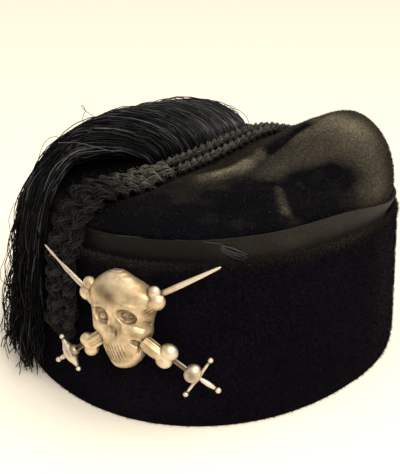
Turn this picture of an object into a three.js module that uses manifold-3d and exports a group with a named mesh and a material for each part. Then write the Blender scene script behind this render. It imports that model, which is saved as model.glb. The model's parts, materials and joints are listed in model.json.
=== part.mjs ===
// A soft black velvet cap with a turned-up plush wall, a ribbed ribbon band, a crown pinched
// along its middle, two braided cords, a fat plait, a long thread fringe and a silver badge.
// Millimetres, +Z up. The wearer's front is -Y and the wearer's left is +X. Angles round the cap
// run from the front to the left. The shapes are drawn round the middle of the rim, and at the
// end the whole is moved so that the origin is on the floor in the middle of its plan.
import * as THREE from 'three';
import { mergeVertices, mergeGeometries } from 'three/addons/utils/BufferGeometryUtils.js';
import Module from 'manifold-3d';

const wasm = await Module();
wasm.setup();

// Driving dimensions of the cap
const rimHalfWidth = 90;        // outside, ear to ear
const rimHalfLength = 100;      // outside, front to back
const ovalPower = 2.2;          // 2 is an ellipse, more is squarer
const wallTaper = 0.0007;       // share of the radius lost for each mm of height
const wallThick = 3;            // plush over stiff cloth, the turned-up wall
const crownThick = 2;           // velvet and its backing
const crownTuck = 14;           // how far the crown runs down inside the wall
const bandInset = 6.3;          // crown's outside to the wall's outside, where they part
const bandThick = 0.9;          // ribbon
const bandTuck = 3;             // ribbon hidden behind the wall's top edge
const bandShort = 0.4;          // each edge of the ribbon stops short of its seam by this
const clearance = 0.3;          // between pieces that touch
const facetSlack = 0.15;        // more of it where flat faces stand for curves
const columns = 64;             // faces round the cap

// Driving dimensions of the trimmings
const cordRadius = 2.9;
const plaitHalfWidth = 10.5;
const plaitStartHalfWidth = 6;
const plaitHalfThick = 3.3;
const plaitHangHalfThick = 1.8;
const plaitLobe = 8;            // length of one lobe of the plait
const lockHalfThick = 2.6;
const fringeFloorGap = 7;       // the threads' ends stop this far above the floor

// The cap in twelve sections, one every 30 degrees. wallTop and bandTop are heights, flare is how
// far the crown spreads across the ribbon, crest is the height of the crown's roll, crestAt is its
// place between edge (0) and crease (1), and roundness shapes the shoulder (2 is an ellipse).
const sections = [
  { angle: 0, wallTop: 72.6, bandTop: 82.0, flare: 1.0, crest: 88.0, crestAt: 0.80, roundness: 2.0 },
  { angle: 30, wallTop: 74.0, bandTop: 84.0, flare: 1.0, crest: 91.0, crestAt: 0.70, roundness: 1.9 },
  { angle: 60, wallTop: 74.8, bandTop: 86.0, flare: 1.4, crest: 95.0, crestAt: 0.78, roundness: 1.9 },
  { angle: 90, wallTop: 75.0, bandTop: 87.4, flare: 2.8, crest: 101.5, crestAt: 0.70, roundness: 2.0 },
  { angle: 120, wallTop: 73.8, bandTop: 81.5, flare: 4.3, crest: 114.5, crestAt: 0.60, roundness: 2.3 },
  { angle: 150, wallTop: 71.6, bandTop: 77.5, flare: 4.3, crest: 112.0, crestAt: 0.52, roundness: 2.3 },
  { angle: 180, wallTop: 70.0, bandTop: 76.0, flare: 3.0, crest: 96.0, crestAt: 0.50, roundness: 2.0 },
  { angle: 210, wallTop: 69.0, bandTop: 76.0, flare: 2.5, crest: 92.0, crestAt: 0.42, roundness: 2.0 },
  { angle: 240, wallTop: 68.6, bandTop: 77.0, flare: 2.0, crest: 99.0, crestAt: 0.48, roundness: 1.9 },
  { angle: 270, wallTop: 68.6, bandTop: 78.0, flare: 1.5, crest: 104.5, crestAt: 0.52, roundness: 1.8 },
  { angle: 300, wallTop: 69.4, bandTop: 79.0, flare: 1.5, crest: 102.5, crestAt: 0.52, roundness: 1.8 },
  { angle: 330, wallTop: 71.0, bandTop: 80.5, flare: 1.5, crest: 95.0, crestAt: 0.50, roundness: 2.0 },
];

// The bottom of the long pinch, from the front edge to the back
const creaseX = 5;
const creaseReach = 0.8;        // share of the crown's length that is pinched
const crease = [
  { y: -72, z: 87.4 },
  { y: -50, z: 89.0 },
  { y: -30, z: 91.0 },
  { y: -10, z: 93.5 },
  { y: 10, z: 97.3 },
  { y: 28, z: 100.2 },
  { y: 42, z: 99.0 },
  { y: 56, z: 95.0 },
  { y: 72, z: 89.0 },
];

// Hollows pressed into the crown's side: place round the cap, height on the shoulder from 0 at
// the ribbon to 1 at the crest, their spreads, and the depth
const dents = [
  { angle: 52, spread: 11, height: 0.42, rise: 0.34, depth: 5.0 },
  { angle: 86, spread: 11, height: 0.55, rise: 0.32, depth: 4.5 },
  { angle: 69, spread: 4, height: 0.45, rise: 0.30, depth: -1.6 },
  { angle: 318, spread: 14, height: 0.40, rise: 0.35, depth: 3.0 },
];

const dentInward = 0.8;         // share of a hollow's depth that goes towards the crease
const dentDown = 0.5;           // and down, more of it near the crest

const degree = Math.PI / 180;

// Smooth interpolation in a table of rows, by the named column
function between(rows, key, at, column, period) {
  const last = rows.length - 1;
  let index = 0;
  while (index < last && rows[index + 1][key] <= at) index += 1;
  const row = (i) => (period ? rows[(i + rows.length) % rows.length] : rows[Math.min(Math.max(i, 0), last)]);
  const start = row(index)[key];
  const end = period && index === last ? start + period / rows.length : row(index + 1)[key];
  const share = end > start ? (at - start) / (end - start) : 0;
  const [a, b, c, d] = [-1, 0, 1, 2].map((step) => row(index + step)[column]);
  const bend = (c - a) * 0.5;
  const bendNext = (d - b) * 0.5;
  const cube = share ** 3;
  const square = share ** 2;
  return b * (2 * cube - 3 * square + 1) + bend * (cube - 2 * square + share)
    + c * (3 * square - 2 * cube) + bendNext * (cube - square);
}

function sectionAt(angle, column) {
  return between(sections, 'angle', ((angle % 360) + 360) % 360, column, 360);
}

function creaseHeight(y) {
  const reach = crease[crease.length - 1].y;
  return between(crease, 'y', THREE.MathUtils.clamp(y, -reach, reach), 'z');
}

// A point of the cap's oval at a height, drawn in from the wall's outside by inset
function ovalPoint(angle, inset, z) {
  const shrink = 1 - wallTaper * z;
  const side = Math.abs(Math.sin(angle * degree)) / (rimHalfWidth * shrink - inset);
  const front = Math.abs(Math.cos(angle * degree)) / (rimHalfLength * shrink - inset);
  const radius = (side ** ovalPower + front ** ovalPower) ** (-1 / ovalPower);
  return new THREE.Vector3(radius * Math.sin(angle * degree), -radius * Math.cos(angle * degree), z);
}

function ease(share) {
  return (1 - Math.cos(Math.PI * share)) / 2;
}

function bump(distance, spread) {
  return Math.exp(-((distance / spread) ** 2));
}

// Triangles of a grid of points, rows by columns, closed round the columns. flip turns them over.
function gridIndex(rows, across, flip, first = 0) {
  const index = [];
  for (let r = 0; r < rows - 1; r += 1) {
    for (let c = 0; c < across; c += 1) {
      const a = first + r * across + c;
      const b = first + r * across + ((c + 1) % across);
      if (flip) index.push(a, a + across, b, b, a + across, b + across);
      else index.push(a, b, a + across, b, b + across, a + across);
    }
  }
  return index;
}

function geometryFrom(points, index) {
  const geometry = new THREE.BufferGeometry();
  geometry.setAttribute('position', new THREE.Float32BufferAttribute(points.flatMap((p) => [p.x, p.y, p.z]), 3));
  geometry.setIndex(index);
  return geometry;
}

// Rings joined one after the other, with the last joined to the first
function ringLoop(rings) {
  const points = [...rings, rings[0]].flat();
  return mergeVertices(geometryFrom(points, gridIndex(rings.length + 1, rings[0].length, false)), 1e-4);
}

// Rings joined one after the other, closed at both ends by a fan
function ringSolid(rings) {
  const across = rings[0].length;
  const points = rings.flat();
  const index = gridIndex(rings.length, across, false);
  for (let c = 1; c < across - 1; c += 1) {
    index.push(0, c + 1, c);
    const top = (rings.length - 1) * across;
    index.push(top, top + c, top + c + 1);
  }
  return geometryFrom(points, index);
}

// A solid for joining and cutting, from a closed geometry
function solidOf(geometry) {
  const bare = geometry.clone();
  bare.deleteAttribute('normal');
  bare.deleteAttribute('uv');
  const merged = mergeVertices(bare, 1e-4);
  const mesh = new wasm.Mesh({
    numProp: 3,
    vertProperties: new Float32Array(merged.attributes.position.array),
    triVerts: new Uint32Array(merged.index.array),
  });
  return new wasm.Manifold(mesh);
}

function geometryOf(solid) {
  const mesh = solid.getMesh();
  const geometry = new THREE.BufferGeometry();
  geometry.setAttribute('position', new THREE.BufferAttribute(new Float32Array(mesh.vertProperties), 3));
  geometry.setIndex(new THREE.BufferAttribute(new Uint32Array(mesh.triVerts), 1));
  return geometry;
}

function joined(geometries) {
  return geometries.map(solidOf).reduce((whole, solid) => whole.add(solid));
}

const part = new THREE.Group();

function addPiece(name, geometry, color, roughness, metalness = 0) {
  const piece = new THREE.Mesh(geometry, new THREE.MeshStandardMaterial({ color, roughness, metalness }));
  piece.name = name;
  part.add(piece);
}

const angles = Array.from({ length: columns }, (_, c) => (c * 360) / columns);

// Turned-up wall: a plush strip on edge, flat where it stands and rounded along its top
function wallGeometry() {
  const softness = 0.6;
  const profile = [
    { inset: wallThick - softness, share: 0, rise: 0 },
    { inset: softness, share: 0, rise: 0 },
    { inset: 0, share: 0, rise: 1.2 },
    { inset: 0, share: 0.33, rise: 0 },
    { inset: 0, share: 0.66, rise: 0 },
    { inset: 0, share: 1, rise: -1.6 },
    { inset: 0.8, share: 1, rise: -0.3 },
    { inset: 1.7, share: 1, rise: 0 },
    { inset: 2.6, share: 1, rise: -0.5 },
    { inset: wallThick, share: 1, rise: -1.8 },
    { inset: wallThick, share: 0.5, rise: 0 },
    { inset: wallThick, share: 0, rise: 1.2 },
  ];
  const rings = profile.map(({ inset, share, rise }) => angles.map((angle) => {
    const z = share * sectionAt(angle, 'wallTop') + rise;
    return ovalPoint(angle, inset, z);
  }));
  return ringLoop(rings);
}

// The crown's outside at an angle: a tucked skirt, the band's face, the shoulder and the pinch
const shoulderSteps = 7;
const pinchSteps = 4;

function crownColumn(angle) {
  const wallTop = sectionAt(angle, 'wallTop');
  const bandTop = sectionAt(angle, 'bandTop');
  const flare = sectionAt(angle, 'flare');
  const crest = sectionAt(angle, 'crest');
  const crestAt = sectionAt(angle, 'crestAt');
  const roundness = sectionAt(angle, 'roundness');
  const edge = ovalPoint(angle, bandInset - flare, bandTop);
  const column = [
    ovalPoint(angle, wallThick + clearance, wallTop - crownTuck),
    ovalPoint(angle, wallThick + clearance, wallTop - crownTuck / 2),
    ovalPoint(angle, bandInset, wallTop - bandTuck),
    edge,
  ];
  const mirrored = Math.min(angle, 360 - angle);
  const pinch = new THREE.Vector3(creaseX, creaseReach * ovalPoint(mirrored, bandInset, 0).y, 0);
  pinch.z = creaseHeight(pinch.y);
  const across = new THREE.Vector3(pinch.x - edge.x, pinch.y - edge.y, 0);
  const inward = across.clone().normalize();
  for (let step = 1; step <= shoulderSteps; step += 1) {
    const turn = (step / shoulderSteps) * 90 * degree;
    const rise = Math.sin(turn) ** (2 / roundness);
    const along = crestAt * (1 - Math.cos(turn) ** (2 / roundness));
    const point = edge.clone().addScaledVector(across, along);
    point.z = edge.z + (crest - edge.z) * rise;
    for (const dent of dents) {
      const away = ((angle - dent.angle + 540) % 360) - 180;
      const depth = dent.depth * bump(away, dent.spread) * bump(rise - dent.height, dent.rise);
      point.addScaledVector(inward, depth * dentInward);
      point.z -= depth * dentDown * rise;
    }
    column.push(point);
  }
  for (let step = 1; step <= pinchSteps; step += 1) {
    const share = step / pinchSteps;
    const point = edge.clone().addScaledVector(across, crestAt + (1 - crestAt) * share);
    point.z = crest + (pinch.z - crest) * ease(share);
    column.push(point);
  }
  return column;
}

function skinIndex(geometry, point) {
  const place = geometry.attributes.position;
  let best = 0;
  let least = Infinity;
  for (let i = 0; i < place.count; i += 1) {
    const away = point.distanceToSquared(new THREE.Vector3().fromBufferAttribute(place, i));
    if (away < least) [best, least] = [i, away];
  }
  return best;
}

// A shell of even thickness: the outside, the same points moved inwards, and a strip at the hem
function crownGeometry() {
  const outside = angles.map(crownColumn);
  const rows = outside[0].length;
  const points = Array.from({ length: rows }, (_, r) => outside.map((column) => column[r])).flat();
  const skin = mergeVertices(geometryFrom(points, gridIndex(rows, columns, false)), 1e-3);
  skin.computeVertexNormals();
  const lining = skin.clone();
  const feet = new Set(outside.map(([foot]) => skinIndex(skin, foot)));
  const place = lining.attributes.position;
  const normal = skin.attributes.normal;
  for (let i = 0; i < place.count; i += 1) {
    place.setXYZ(
      i,
      place.getX(i) - crownThick * normal.getX(i),
      place.getY(i) - crownThick * normal.getY(i),
      place.getZ(i) - crownThick * normal.getZ(i) * (feet.has(i) ? 0 : 1),
    );
  }
  const turned = Array.from(lining.index.array);
  for (let i = 0; i < turned.length; i += 3) [turned[i], turned[i + 1]] = [turned[i + 1], turned[i]];
  lining.setIndex(turned);
  const hemPoints = [lining, skin].flatMap((shell) => outside.map(([foot]) => {
    const spot = skinIndex(skin, foot);
    return new THREE.Vector3().fromBufferAttribute(shell.attributes.position, spot);
  }));
  const hem = geometryFrom(hemPoints, gridIndex(2, columns, false));
  [skin, lining].forEach((shell) => shell.deleteAttribute('normal'));
  return mergeVertices(mergeGeometries([skin, lining, hem]), 1e-4);
}

// Ribbon: a flat band round the foot of the crown
function bandGeometry() {
  const gap = clearance + facetSlack;
  const rings = [
    [gap, 0], [gap + bandThick, 0], [gap + bandThick, 1], [gap, 1],
  ].map(([out, share]) => angles.map((angle) => {
    const low = sectionAt(angle, 'wallTop') - bandTuck + bandShort;
    const high = sectionAt(angle, 'bandTop') - bandShort;
    const inset = bandInset - share * sectionAt(angle, 'flare') - out;
    return ovalPoint(angle, inset, low + (high - low) * share);
  }));
  return ringLoop(rings);
}

// Cords, plait and fringe lie on the crown, so their heights come from its outside
const crownShape = crownGeometry();
const wallShape = wallGeometry();
const bandShape = bandGeometry();
const caster = new THREE.Raycaster();
const crownMesh = new THREE.Mesh(crownShape);
const underlay = [crownMesh, new THREE.Mesh(wallShape), new THREE.Mesh(bandShape)];
const above = 200;

function crownTop(x, y) {
  caster.set(new THREE.Vector3(x, y, above), new THREE.Vector3(0, 0, -1));
  const hits = caster.intersectObject(crownMesh);
  return hits.length > 0 ? hits[0].point.z : 0;
}

// Height of the middle of a round cord that rests on the crown
function restHeight(x, y, radius) {
  const reach = radius + clearance + facetSlack;
  let height = 0;
  for (let dx = -reach; dx <= reach; dx += reach / 3) {
    for (let dy = -reach; dy <= reach; dy += reach / 2) {
      const away = dx * dx + dy * dy;
      if (away <= reach * reach) height = Math.max(height, crownTop(x + dx, y + dy) + Math.sqrt(reach * reach - away));
    }
  }
  return height;
}

// A cord sewn down along the crease, from behind the plait to the back of the crown
const cordFront = -32.5;
const cordBack = 58;
const cordSteps = 12;
const cordNearX = 5.6;
const cordFarX = -2.4;

function cordGeometry(x) {
  const route = [];
  for (let step = 0; step <= cordSteps; step += 1) {
    const y = cordFront + ((cordBack - cordFront) * step) / cordSteps;
    route.push(new THREE.Vector3(x, y, restHeight(x, y, cordRadius)));
  }
  const section = new THREE.Shape();
  const sides = 10;
  for (let side = 0; side < sides; side += 1) {
    const turn = (side / sides) * 360 * degree;
    if (side === 0) section.moveTo(cordRadius, 0);
    else section.lineTo(cordRadius * Math.cos(turn), cordRadius * Math.sin(turn));
  }
  const extrudePath = new THREE.CatmullRomCurve3(route);
  return new THREE.ExtrudeGeometry(section, { steps: cordSteps, extrudePath, bevelEnabled: false });
}

// The plait: over the front edge of the crown and down the front of the wall
const plaitX = 3.2;
const plaitEndX = 5;
const plaitPivot = { y: -52, z: 48 };
const plaitStartTurn = 109;     // degrees above level at the front, seen from the pivot
const plaitEndTurn = -19;
const plaitRings = 50;
const plaitSwell = 0.16;        // share by which each lobe is wider than the waist beside it
const plaitSway = 0.7;          // how far the lobes stand to each side
const plaitEndRings = 4;        // rings over which the end is drawn in
const plaitEndShare = 0.12;     // square of how narrow the end becomes

// Where the middle of the plait lies when its oval section rests on everything under it
function plaitMiddle(x, turn, halfWidth, halfThick) {
  const toward = new THREE.Vector3(0, -Math.cos(turn * degree), Math.sin(turn * degree));
  const pivot = new THREE.Vector3(x, plaitPivot.y, plaitPivot.z);
  let furthest = 0;
  for (const side of [-1, -0.9, -0.7, -0.45, -0.2, 0, 0.2, 0.45, 0.7, 0.9, 1]) {
    for (const turnAside of [-4, -2, 0, 2, 4]) {
      const way = toward.clone().applyAxisAngle(new THREE.Vector3(1, 0, 0), turnAside * degree);
      const from = pivot.clone().addScaledVector(way, above);
      from.x += side * halfWidth;
      caster.set(from, way.clone().negate());
      const hits = caster.intersectObjects(underlay, false);
      const section = halfThick * Math.sqrt(1 - side * side);
      if (hits.length > 0) furthest = Math.max(furthest, above - hits[0].distance + section);
    }
  }
  return pivot.addScaledVector(toward, furthest + clearance + facetSlack);
}

function plaitThickAt(share) {
  return THREE.MathUtils.lerp(plaitHalfThick, plaitHangHalfThick, THREE.MathUtils.smoothstep(share, 0.35, 0.6));
}

function plaitWidthAt(share) {
  return THREE.MathUtils.lerp(plaitStartHalfWidth, plaitHalfWidth, THREE.MathUtils.smoothstep(share, 0, 0.2));
}

function plaitGeometry() {
  const knots = 22;
  const route = [];
  for (let knot = 0; knot <= knots; knot += 1) {
    const share = knot / knots;
    const sweep = plaitStartTurn + (plaitEndTurn - plaitStartTurn) * share;
    const x = plaitX + (plaitEndX - plaitX) * share;
    route.push(plaitMiddle(x, sweep, plaitWidthAt(share), plaitThickAt(share)));
  }
  const curve = new THREE.CatmullRomCurve3(route);
  const centres = curve.getSpacedPoints(plaitRings);
  const length = curve.getLength();
  const rings = centres.map((centre, r) => {
    const ahead = centres[Math.min(r + 1, plaitRings)].clone().sub(centres[Math.max(r - 1, 0)]).normalize();
    const outward = new THREE.Vector3(1, 0, 0).cross(ahead).normalize();
    const along = (r / plaitRings) * length;
    const swell = 1 - plaitSwell + plaitSwell * Math.abs(Math.sin((Math.PI * along) / plaitLobe));
    const end = Math.min(1, Math.sqrt(Math.max(plaitEndShare, (plaitRings - r) / plaitEndRings)));
    const sway = plaitSway * Math.sin((Math.PI * along) / plaitLobe);
    const sides = 8;
    return Array.from({ length: sides }, (_, side) => {
      const turn = (side / sides) * 360 * degree;
      return centre.clone()
        .add(new THREE.Vector3(sway + plaitWidthAt(r / plaitRings) * swell * end * Math.cos(turn), 0, 0))
        .addScaledVector(outward, -plaitThickAt(r / plaitRings) * swell * end * Math.sin(turn));
    });
  });
  return ringSolid(rings);
}

// The fringe in six sections from its front edge to its back edge. rootY is where the threads are
// sewn, fall is the angle round the cap where they hang, top is the height of their arch, topAt
// its place between hanging edge (0) and root (1), off is the distance from the wall where they
// start to hang, and spread is how much more that becomes at their ends.
const fringe = [
  { at: 0, rootY: -38, fall: -7, top: 107.5, topAt: 0.42, roundness: 2.0, off: 4.0, spread: 4 },
  { at: 0.2, rootY: -28, fall: -22, top: 110.5, topAt: 0.50, roundness: 1.85, off: 4.5, spread: 5 },
  { at: 0.4, rootY: -16, fall: -40, top: 113.5, topAt: 0.58, roundness: 1.75, off: 4.5, spread: 6 },
  { at: 0.6, rootY: -3, fall: -58, top: 115.5, topAt: 0.64, roundness: 1.9, off: 4.5, spread: 6 },
  { at: 0.8, rootY: 10, fall: -76, top: 115.0, topAt: 0.68, roundness: 2.05, off: 5, spread: 5 },
  { at: 1, rootY: 22, fall: -95, top: 112.0, topAt: 0.72, roundness: 2.1, off: 5, spread: 4 },
];
const fringeRootX = -6.7;
const fringeRootLift = 2.4;
const locks = 11;
const lockColumns = [0, 0.26, 0.74, 1];
const lockEnds = [0, 7, 2, 9, 1, 6, 3, 10, 0, 5, 2];
const rootSteps = 3;
const archSteps = 5;
const hangSteps = 5;
const partRow = rootSteps + archSteps + 1;   // the locks hang apart below this row
const hangHeight = 62;
const partHeight = 50;
const lockNarrowing = 0.35;     // share of its width that a lock loses towards its end
const lockThinning = 0.25;      // and of its thickness
const valleyThick = 0.45;       // thickness between locks, as a share of the middle's
const innerThick = 0.9;         // the side towards the cap, as a share of the outer side's
const rootThick = 0.6;          // where the threads are sewn, as a share of the arch's

function fringeMiddle(lock, across, row) {
  const at = (lock + across) / locks;
  const value = (column) => between(fringe, 'at', at, column);
  const rootY = value('rootY');
  const root = new THREE.Vector3(fringeRootX, rootY, crownTop(fringeRootX, rootY) + fringeRootLift);
  const edge = ovalPoint(value('fall'), -value('off'), hangHeight);
  const topAt = value('topAt');
  if (row <= rootSteps) {
    const share = row / rootSteps;
    const point = root.clone().lerp(edge, share * (1 - topAt));
    point.z = root.z + (value('top') - root.z) * Math.sin(share * 90 * degree);
    return point;
  }
  if (row <= rootSteps + archSteps) {
    const turn = 90 * degree * (1 - (row - rootSteps) / archSteps);
    const point = edge.clone().lerp(root, topAt * (1 - Math.cos(turn) ** (2 / value('roundness'))));
    point.z = hangHeight + (value('top') - hangHeight) * Math.sin(turn) ** (2 / value('roundness'));
    return point;
  }
  const end = fringeFloorGap + lockEnds[lock];
  const z = partHeight + ((end - partHeight) * (row - partRow)) / (hangSteps - 1);
  return ovalPoint(value('fall'), -value('off') - value('spread') * (1 - z / hangHeight), z);
}

function fringeGeometry() {
  const rows = rootSteps + archSteps + hangSteps;
  const pieces = [];
  const quad = (a, b, c, d) => pieces.push(a, b, c, a, c, d);
  for (let lock = 0; lock < locks; lock += 1) {
    const grid = Array.from({ length: rows + 1 }, (_, row) => lockColumns.map((column, c) => {
      const parted = Math.max(0, row - partRow) / (rows - partRow);
      const across = 0.5 + (column - 0.5) * (1 - lockNarrowing * parted);
      const valley = c === 0 || c === lockColumns.length - 1;
      const middle = fringeMiddle(lock, across, row);
      const step = 0.02;
      const sideways = fringeMiddle(lock, across + step, row).sub(fringeMiddle(lock, across - step, row));
      const below = row === partRow ? row : Math.min(row + 1, rows);
      const lengthways = fringeMiddle(lock, across, below).sub(fringeMiddle(lock, across, Math.max(row - 1, 0)));
      const outward = sideways.cross(lengthways).normalize();
      const full = lockHalfThick * (row === 0 ? rootThick : 1) * (1 - lockThinning * parted);
      const half = full * (valley ? valleyThick : 1);
      return {
        outer: middle.clone().addScaledVector(outward, half),
        inner: middle.clone().addScaledVector(outward, -half * innerThick),
      };
    }));
    const lastColumn = lockColumns.length - 1;
    for (let row = 0; row < rows; row += 1) {
      for (let c = 0; c < lastColumn; c += 1) {
        quad(grid[row][c].outer, grid[row][c + 1].outer, grid[row + 1][c + 1].outer, grid[row + 1][c].outer);
        quad(grid[row][c].inner, grid[row + 1][c].inner, grid[row + 1][c + 1].inner, grid[row][c + 1].inner);
      }
      if (row >= partRow || lock === 0) {
        quad(grid[row][0].inner, grid[row][0].outer, grid[row + 1][0].outer, grid[row + 1][0].inner);
      }
      if (row >= partRow || lock === locks - 1) {
        quad(grid[row][lastColumn].outer, grid[row][lastColumn].inner, grid[row + 1][lastColumn].inner, grid[row + 1][lastColumn].outer);
      }
    }
    for (let c = 0; c < lastColumn; c += 1) {
      quad(grid[0][c].inner, grid[0][c + 1].inner, grid[0][c + 1].outer, grid[0][c].outer);
      quad(grid[rows][c].outer, grid[rows][c + 1].outer, grid[rows][c + 1].inner, grid[rows][c].inner);
    }
  }
  return mergeVertices(geometryFrom(pieces, pieces.map((_, i) => i)), 1e-3);
}

// The badge is drawn flat, across (u), up (v) and out (w), then bent round the wall
const badgeCentre = new THREE.Vector3(41.3, -92.6, 50);
const badgeFacing = 24;         // degrees round the cap
const badgeTilt = 6;            // degrees that it looks upwards
const badgeBend = 145;          // radius
const badgeTurn = 4.5;          // degrees, turned against the clock

function badgePoint(u, v, w) {
  const front = new THREE.Vector3(Math.sin(badgeFacing * degree), -Math.cos(badgeFacing * degree), 0);
  const side = new THREE.Vector3(Math.cos(badgeFacing * degree), Math.sin(badgeFacing * degree), 0);
  const up = new THREE.Vector3(0, 0, 1);
  const out = front.clone().multiplyScalar(Math.cos(badgeTilt * degree)).addScaledVector(up, Math.sin(badgeTilt * degree));
  const rise = up.clone().multiplyScalar(Math.cos(badgeTilt * degree)).addScaledVector(front, -Math.sin(badgeTilt * degree));
  const turned = {
    u: u * Math.cos(badgeTurn * degree) - v * Math.sin(badgeTurn * degree),
    v: u * Math.sin(badgeTurn * degree) + v * Math.cos(badgeTurn * degree),
  };
  const reach = badgeBend + w;
  return badgeCentre.clone()
    .addScaledVector(side, reach * Math.sin(turned.u / badgeBend))
    .addScaledVector(rise, turned.v)
    .addScaledVector(out, reach * Math.cos(turned.u / badgeBend) - badgeBend);
}

function bent(geometry) {
  const place = geometry.attributes.position;
  for (let i = 0; i < place.count; i += 1) {
    const point = badgePoint(place.getX(i), place.getY(i), place.getZ(i));
    place.setXYZ(i, point.x, point.y, point.z);
  }
  return geometry;
}

// A turned rod along a direction in the badge's plane, from rows of [place, radius]
function turnedRod(profile, turn, centre, segments, flatness = 1) {
  const points = profile.map(([at, radius]) => new THREE.Vector2(radius, at));
  return new THREE.LatheGeometry(points, segments)
    .rotateZ((turn - 90) * degree)
    .scale(1, 1, flatness)
    .translate(centre.u, centre.v, centre.w);
}

const swordAngle = 34;          // each blade above level
const guardAt = -36.5;
const swordFlatness = 0.75;     // the blades and hilts are flatter than round
const swordOut = 0.3;           // in front of the badge's middle plane
const swordProfile = [
  [-49.2, 0], [-48.7, 0.9], [-47.8, 1.2], [-46.9, 0.7], [-43, 1.1], [-38.5, 0.9], [guardAt - 1.7, 1.6],
  [guardAt - 1.2, 3.6], [guardAt + 0.5, 4.2], [guardAt + 2.2, 3.3], [guardAt + 3.3, 1.0],
  [-12, 1.1], [12, 1.3], [34, 1.0], [49, 0.4], [50, 0],
];
const guardProfile = [
  [-9.9, 0], [-9.5, 0.9], [-8.6, 1.15], [-7.8, 0.7], [-2, 0.8], [2, 0.8], [7.8, 0.7], [8.6, 1.15], [9.5, 0.9], [9.9, 0],
];
const bones = [
  { turn: 144, end: 21, slide: -1.5 },
  { turn: 36, end: 20.6, slide: -1.4 },
];
const boneCentre = { u: 0.6, v: 0.2, w: 2.4 };
const boneProfile = [[-20.4, 0], [-20, 3.0], [-16, 3.1], [-9, 2.6], [9, 2.6], [16, 3.1], [20, 3.0], [20.4, 0]];
const knobAside = 2.5;
const knobRadius = 3.4;
const knobFlatness = 0.85;
const boneFlatness = 0.9;

function swordGeometries(turn) {
  const along = new THREE.Vector2(Math.cos(turn * degree), Math.sin(turn * degree));
  const guard = { u: along.x * guardAt, v: along.y * guardAt, w: swordOut };
  return [
    turnedRod(swordProfile, turn, { u: 0, v: 0, w: swordOut }, 8, swordFlatness),
    turnedRod(guardProfile, turn + 90, guard, 6),
  ];
}

function boneGeometries({ turn, end: reach, slide }) {
  const along = new THREE.Vector2(Math.cos(turn * degree), Math.sin(turn * degree));
  const centre = { u: boneCentre.u + along.x * slide, v: boneCentre.v + along.y * slide, w: boneCentre.w };
  const knobs = [];
  for (const end of [-1, 1]) {
    for (const aside of [-1, 1]) {
      const u = centre.u + along.x * reach * end - along.y * knobAside * aside;
      const v = centre.v + along.y * reach * end + along.x * knobAside * aside;
      knobs.push(new THREE.SphereGeometry(knobRadius, 7, 5).scale(1, 1, knobFlatness).translate(u, v, boneCentre.w));
    }
  }
  return [turnedRod(boneProfile, turn, centre, 8, boneFlatness), ...knobs];
}

// Skull in level sections, from the chin up. half is its half width and depth its relief.
const skull = [
  { v: -22.6, half: 3.2, depth: 5.0 },
  { v: -20.5, half: 6.2, depth: 7.4 },
  { v: -17, half: 7.8, depth: 8.6 },
  { v: -13.5, half: 8.6, depth: 8.8 },
  { v: -10, half: 9.4, depth: 8.4 },
  { v: -6.5, half: 11.4, depth: 8.8 },
  { v: -3, half: 12.8, depth: 9.0 },
  { v: 0.5, half: 13.2, depth: 9.0 },
  { v: 4, half: 13.8, depth: 9.4 },
  { v: 8, half: 14.0, depth: 10.4 },
  { v: 12, half: 13.2, depth: 10.4 },
  { v: 16, half: 10.8, depth: 9.4 },
  { v: 19, half: 7.0, depth: 7.4 },
  { v: 20.8, half: 2.6, depth: 4.8 },
];
// Hollows (positive) and swellings of the face
const face = [
  { u: -9.5, v: -3.6, wide: 2.6, tall: 2.2, depth: -1.2 },
  { u: 9.5, v: -3.6, wide: 2.6, tall: 2.2, depth: -1.2 },
  { u: -8.6, v: -10.5, wide: 2.2, tall: 3.0, depth: 1.8 },
  { u: 8.6, v: -10.5, wide: 2.2, tall: 3.0, depth: 1.8 },
];
// The eye sockets and the nose, cut in
const sockets = [
  { u: -5.2, v: 1.2, w: 8.6, wide: 3.5, tall: 3.0, deep: 3.4 },
  { u: 5.2, v: 1.2, w: 8.6, wide: 3.5, tall: 3.0, deep: 3.4 },
  { u: 0, v: -5.4, w: 8.4, wide: 1.8, tall: 3.2, deep: 2.4 },
];
const skullBack = -2.2;
const skullRise = 1.8;
const skullRim = 0.9;           // thickness of the skull's edge
const reliefPower = 0.8;        // below 1 the relief stands up steeper from its edge

function skullGeometry() {
  const arcSteps = 12;
  const rings = skull.map(({ v, half, depth }) => {
    const ring = [];
    for (let step = 0; step <= arcSteps; step += 1) {
      const turn = (step / arcSteps) * 180 * degree;
      const u = half * Math.cos(turn);
      let w = skullBack + skullRim + (depth - skullRim) * Math.sin(turn) ** reliefPower;
      for (const spot of face) w -= spot.depth * bump(u - spot.u, spot.wide) * bump(v - spot.v, spot.tall) * Math.sin(turn);
      ring.push(new THREE.Vector3(u, v, w));
    }
    for (const share of [-0.85, 0, 0.85]) ring.push(new THREE.Vector3(half * share, v, skullBack));
    return ring.reverse();
  });
  return ringSolid(rings).translate(0, skullRise, 0);
}

function badgeGeometry() {
  const pieces = [
    skullGeometry(),
    ...swordGeometries(180 - swordAngle),
    ...swordGeometries(swordAngle),
    ...bones.flatMap(boneGeometries),
  ];
  const hollows = sockets.map(({ u, v, w, wide, tall, deep }) => (
    new THREE.IcosahedronGeometry(1, 1).scale(wide, tall, deep).translate(u, v + skullRise, w)
  ));
  return geometryOf(joined(pieces.map(bent)).subtract(joined(hollows.map(bent))));
}

// The hidden pin: a plain upright bar between the badge's back and the wall
function pinGeometry() {
  const height = 12;
  const width = 3;
  const thickness = 0.8;
  const out = skullBack - clearance - facetSlack - thickness / 2;
  return bent(new THREE.BoxGeometry(width, height, thickness).translate(0, 0, out));
}

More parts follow.
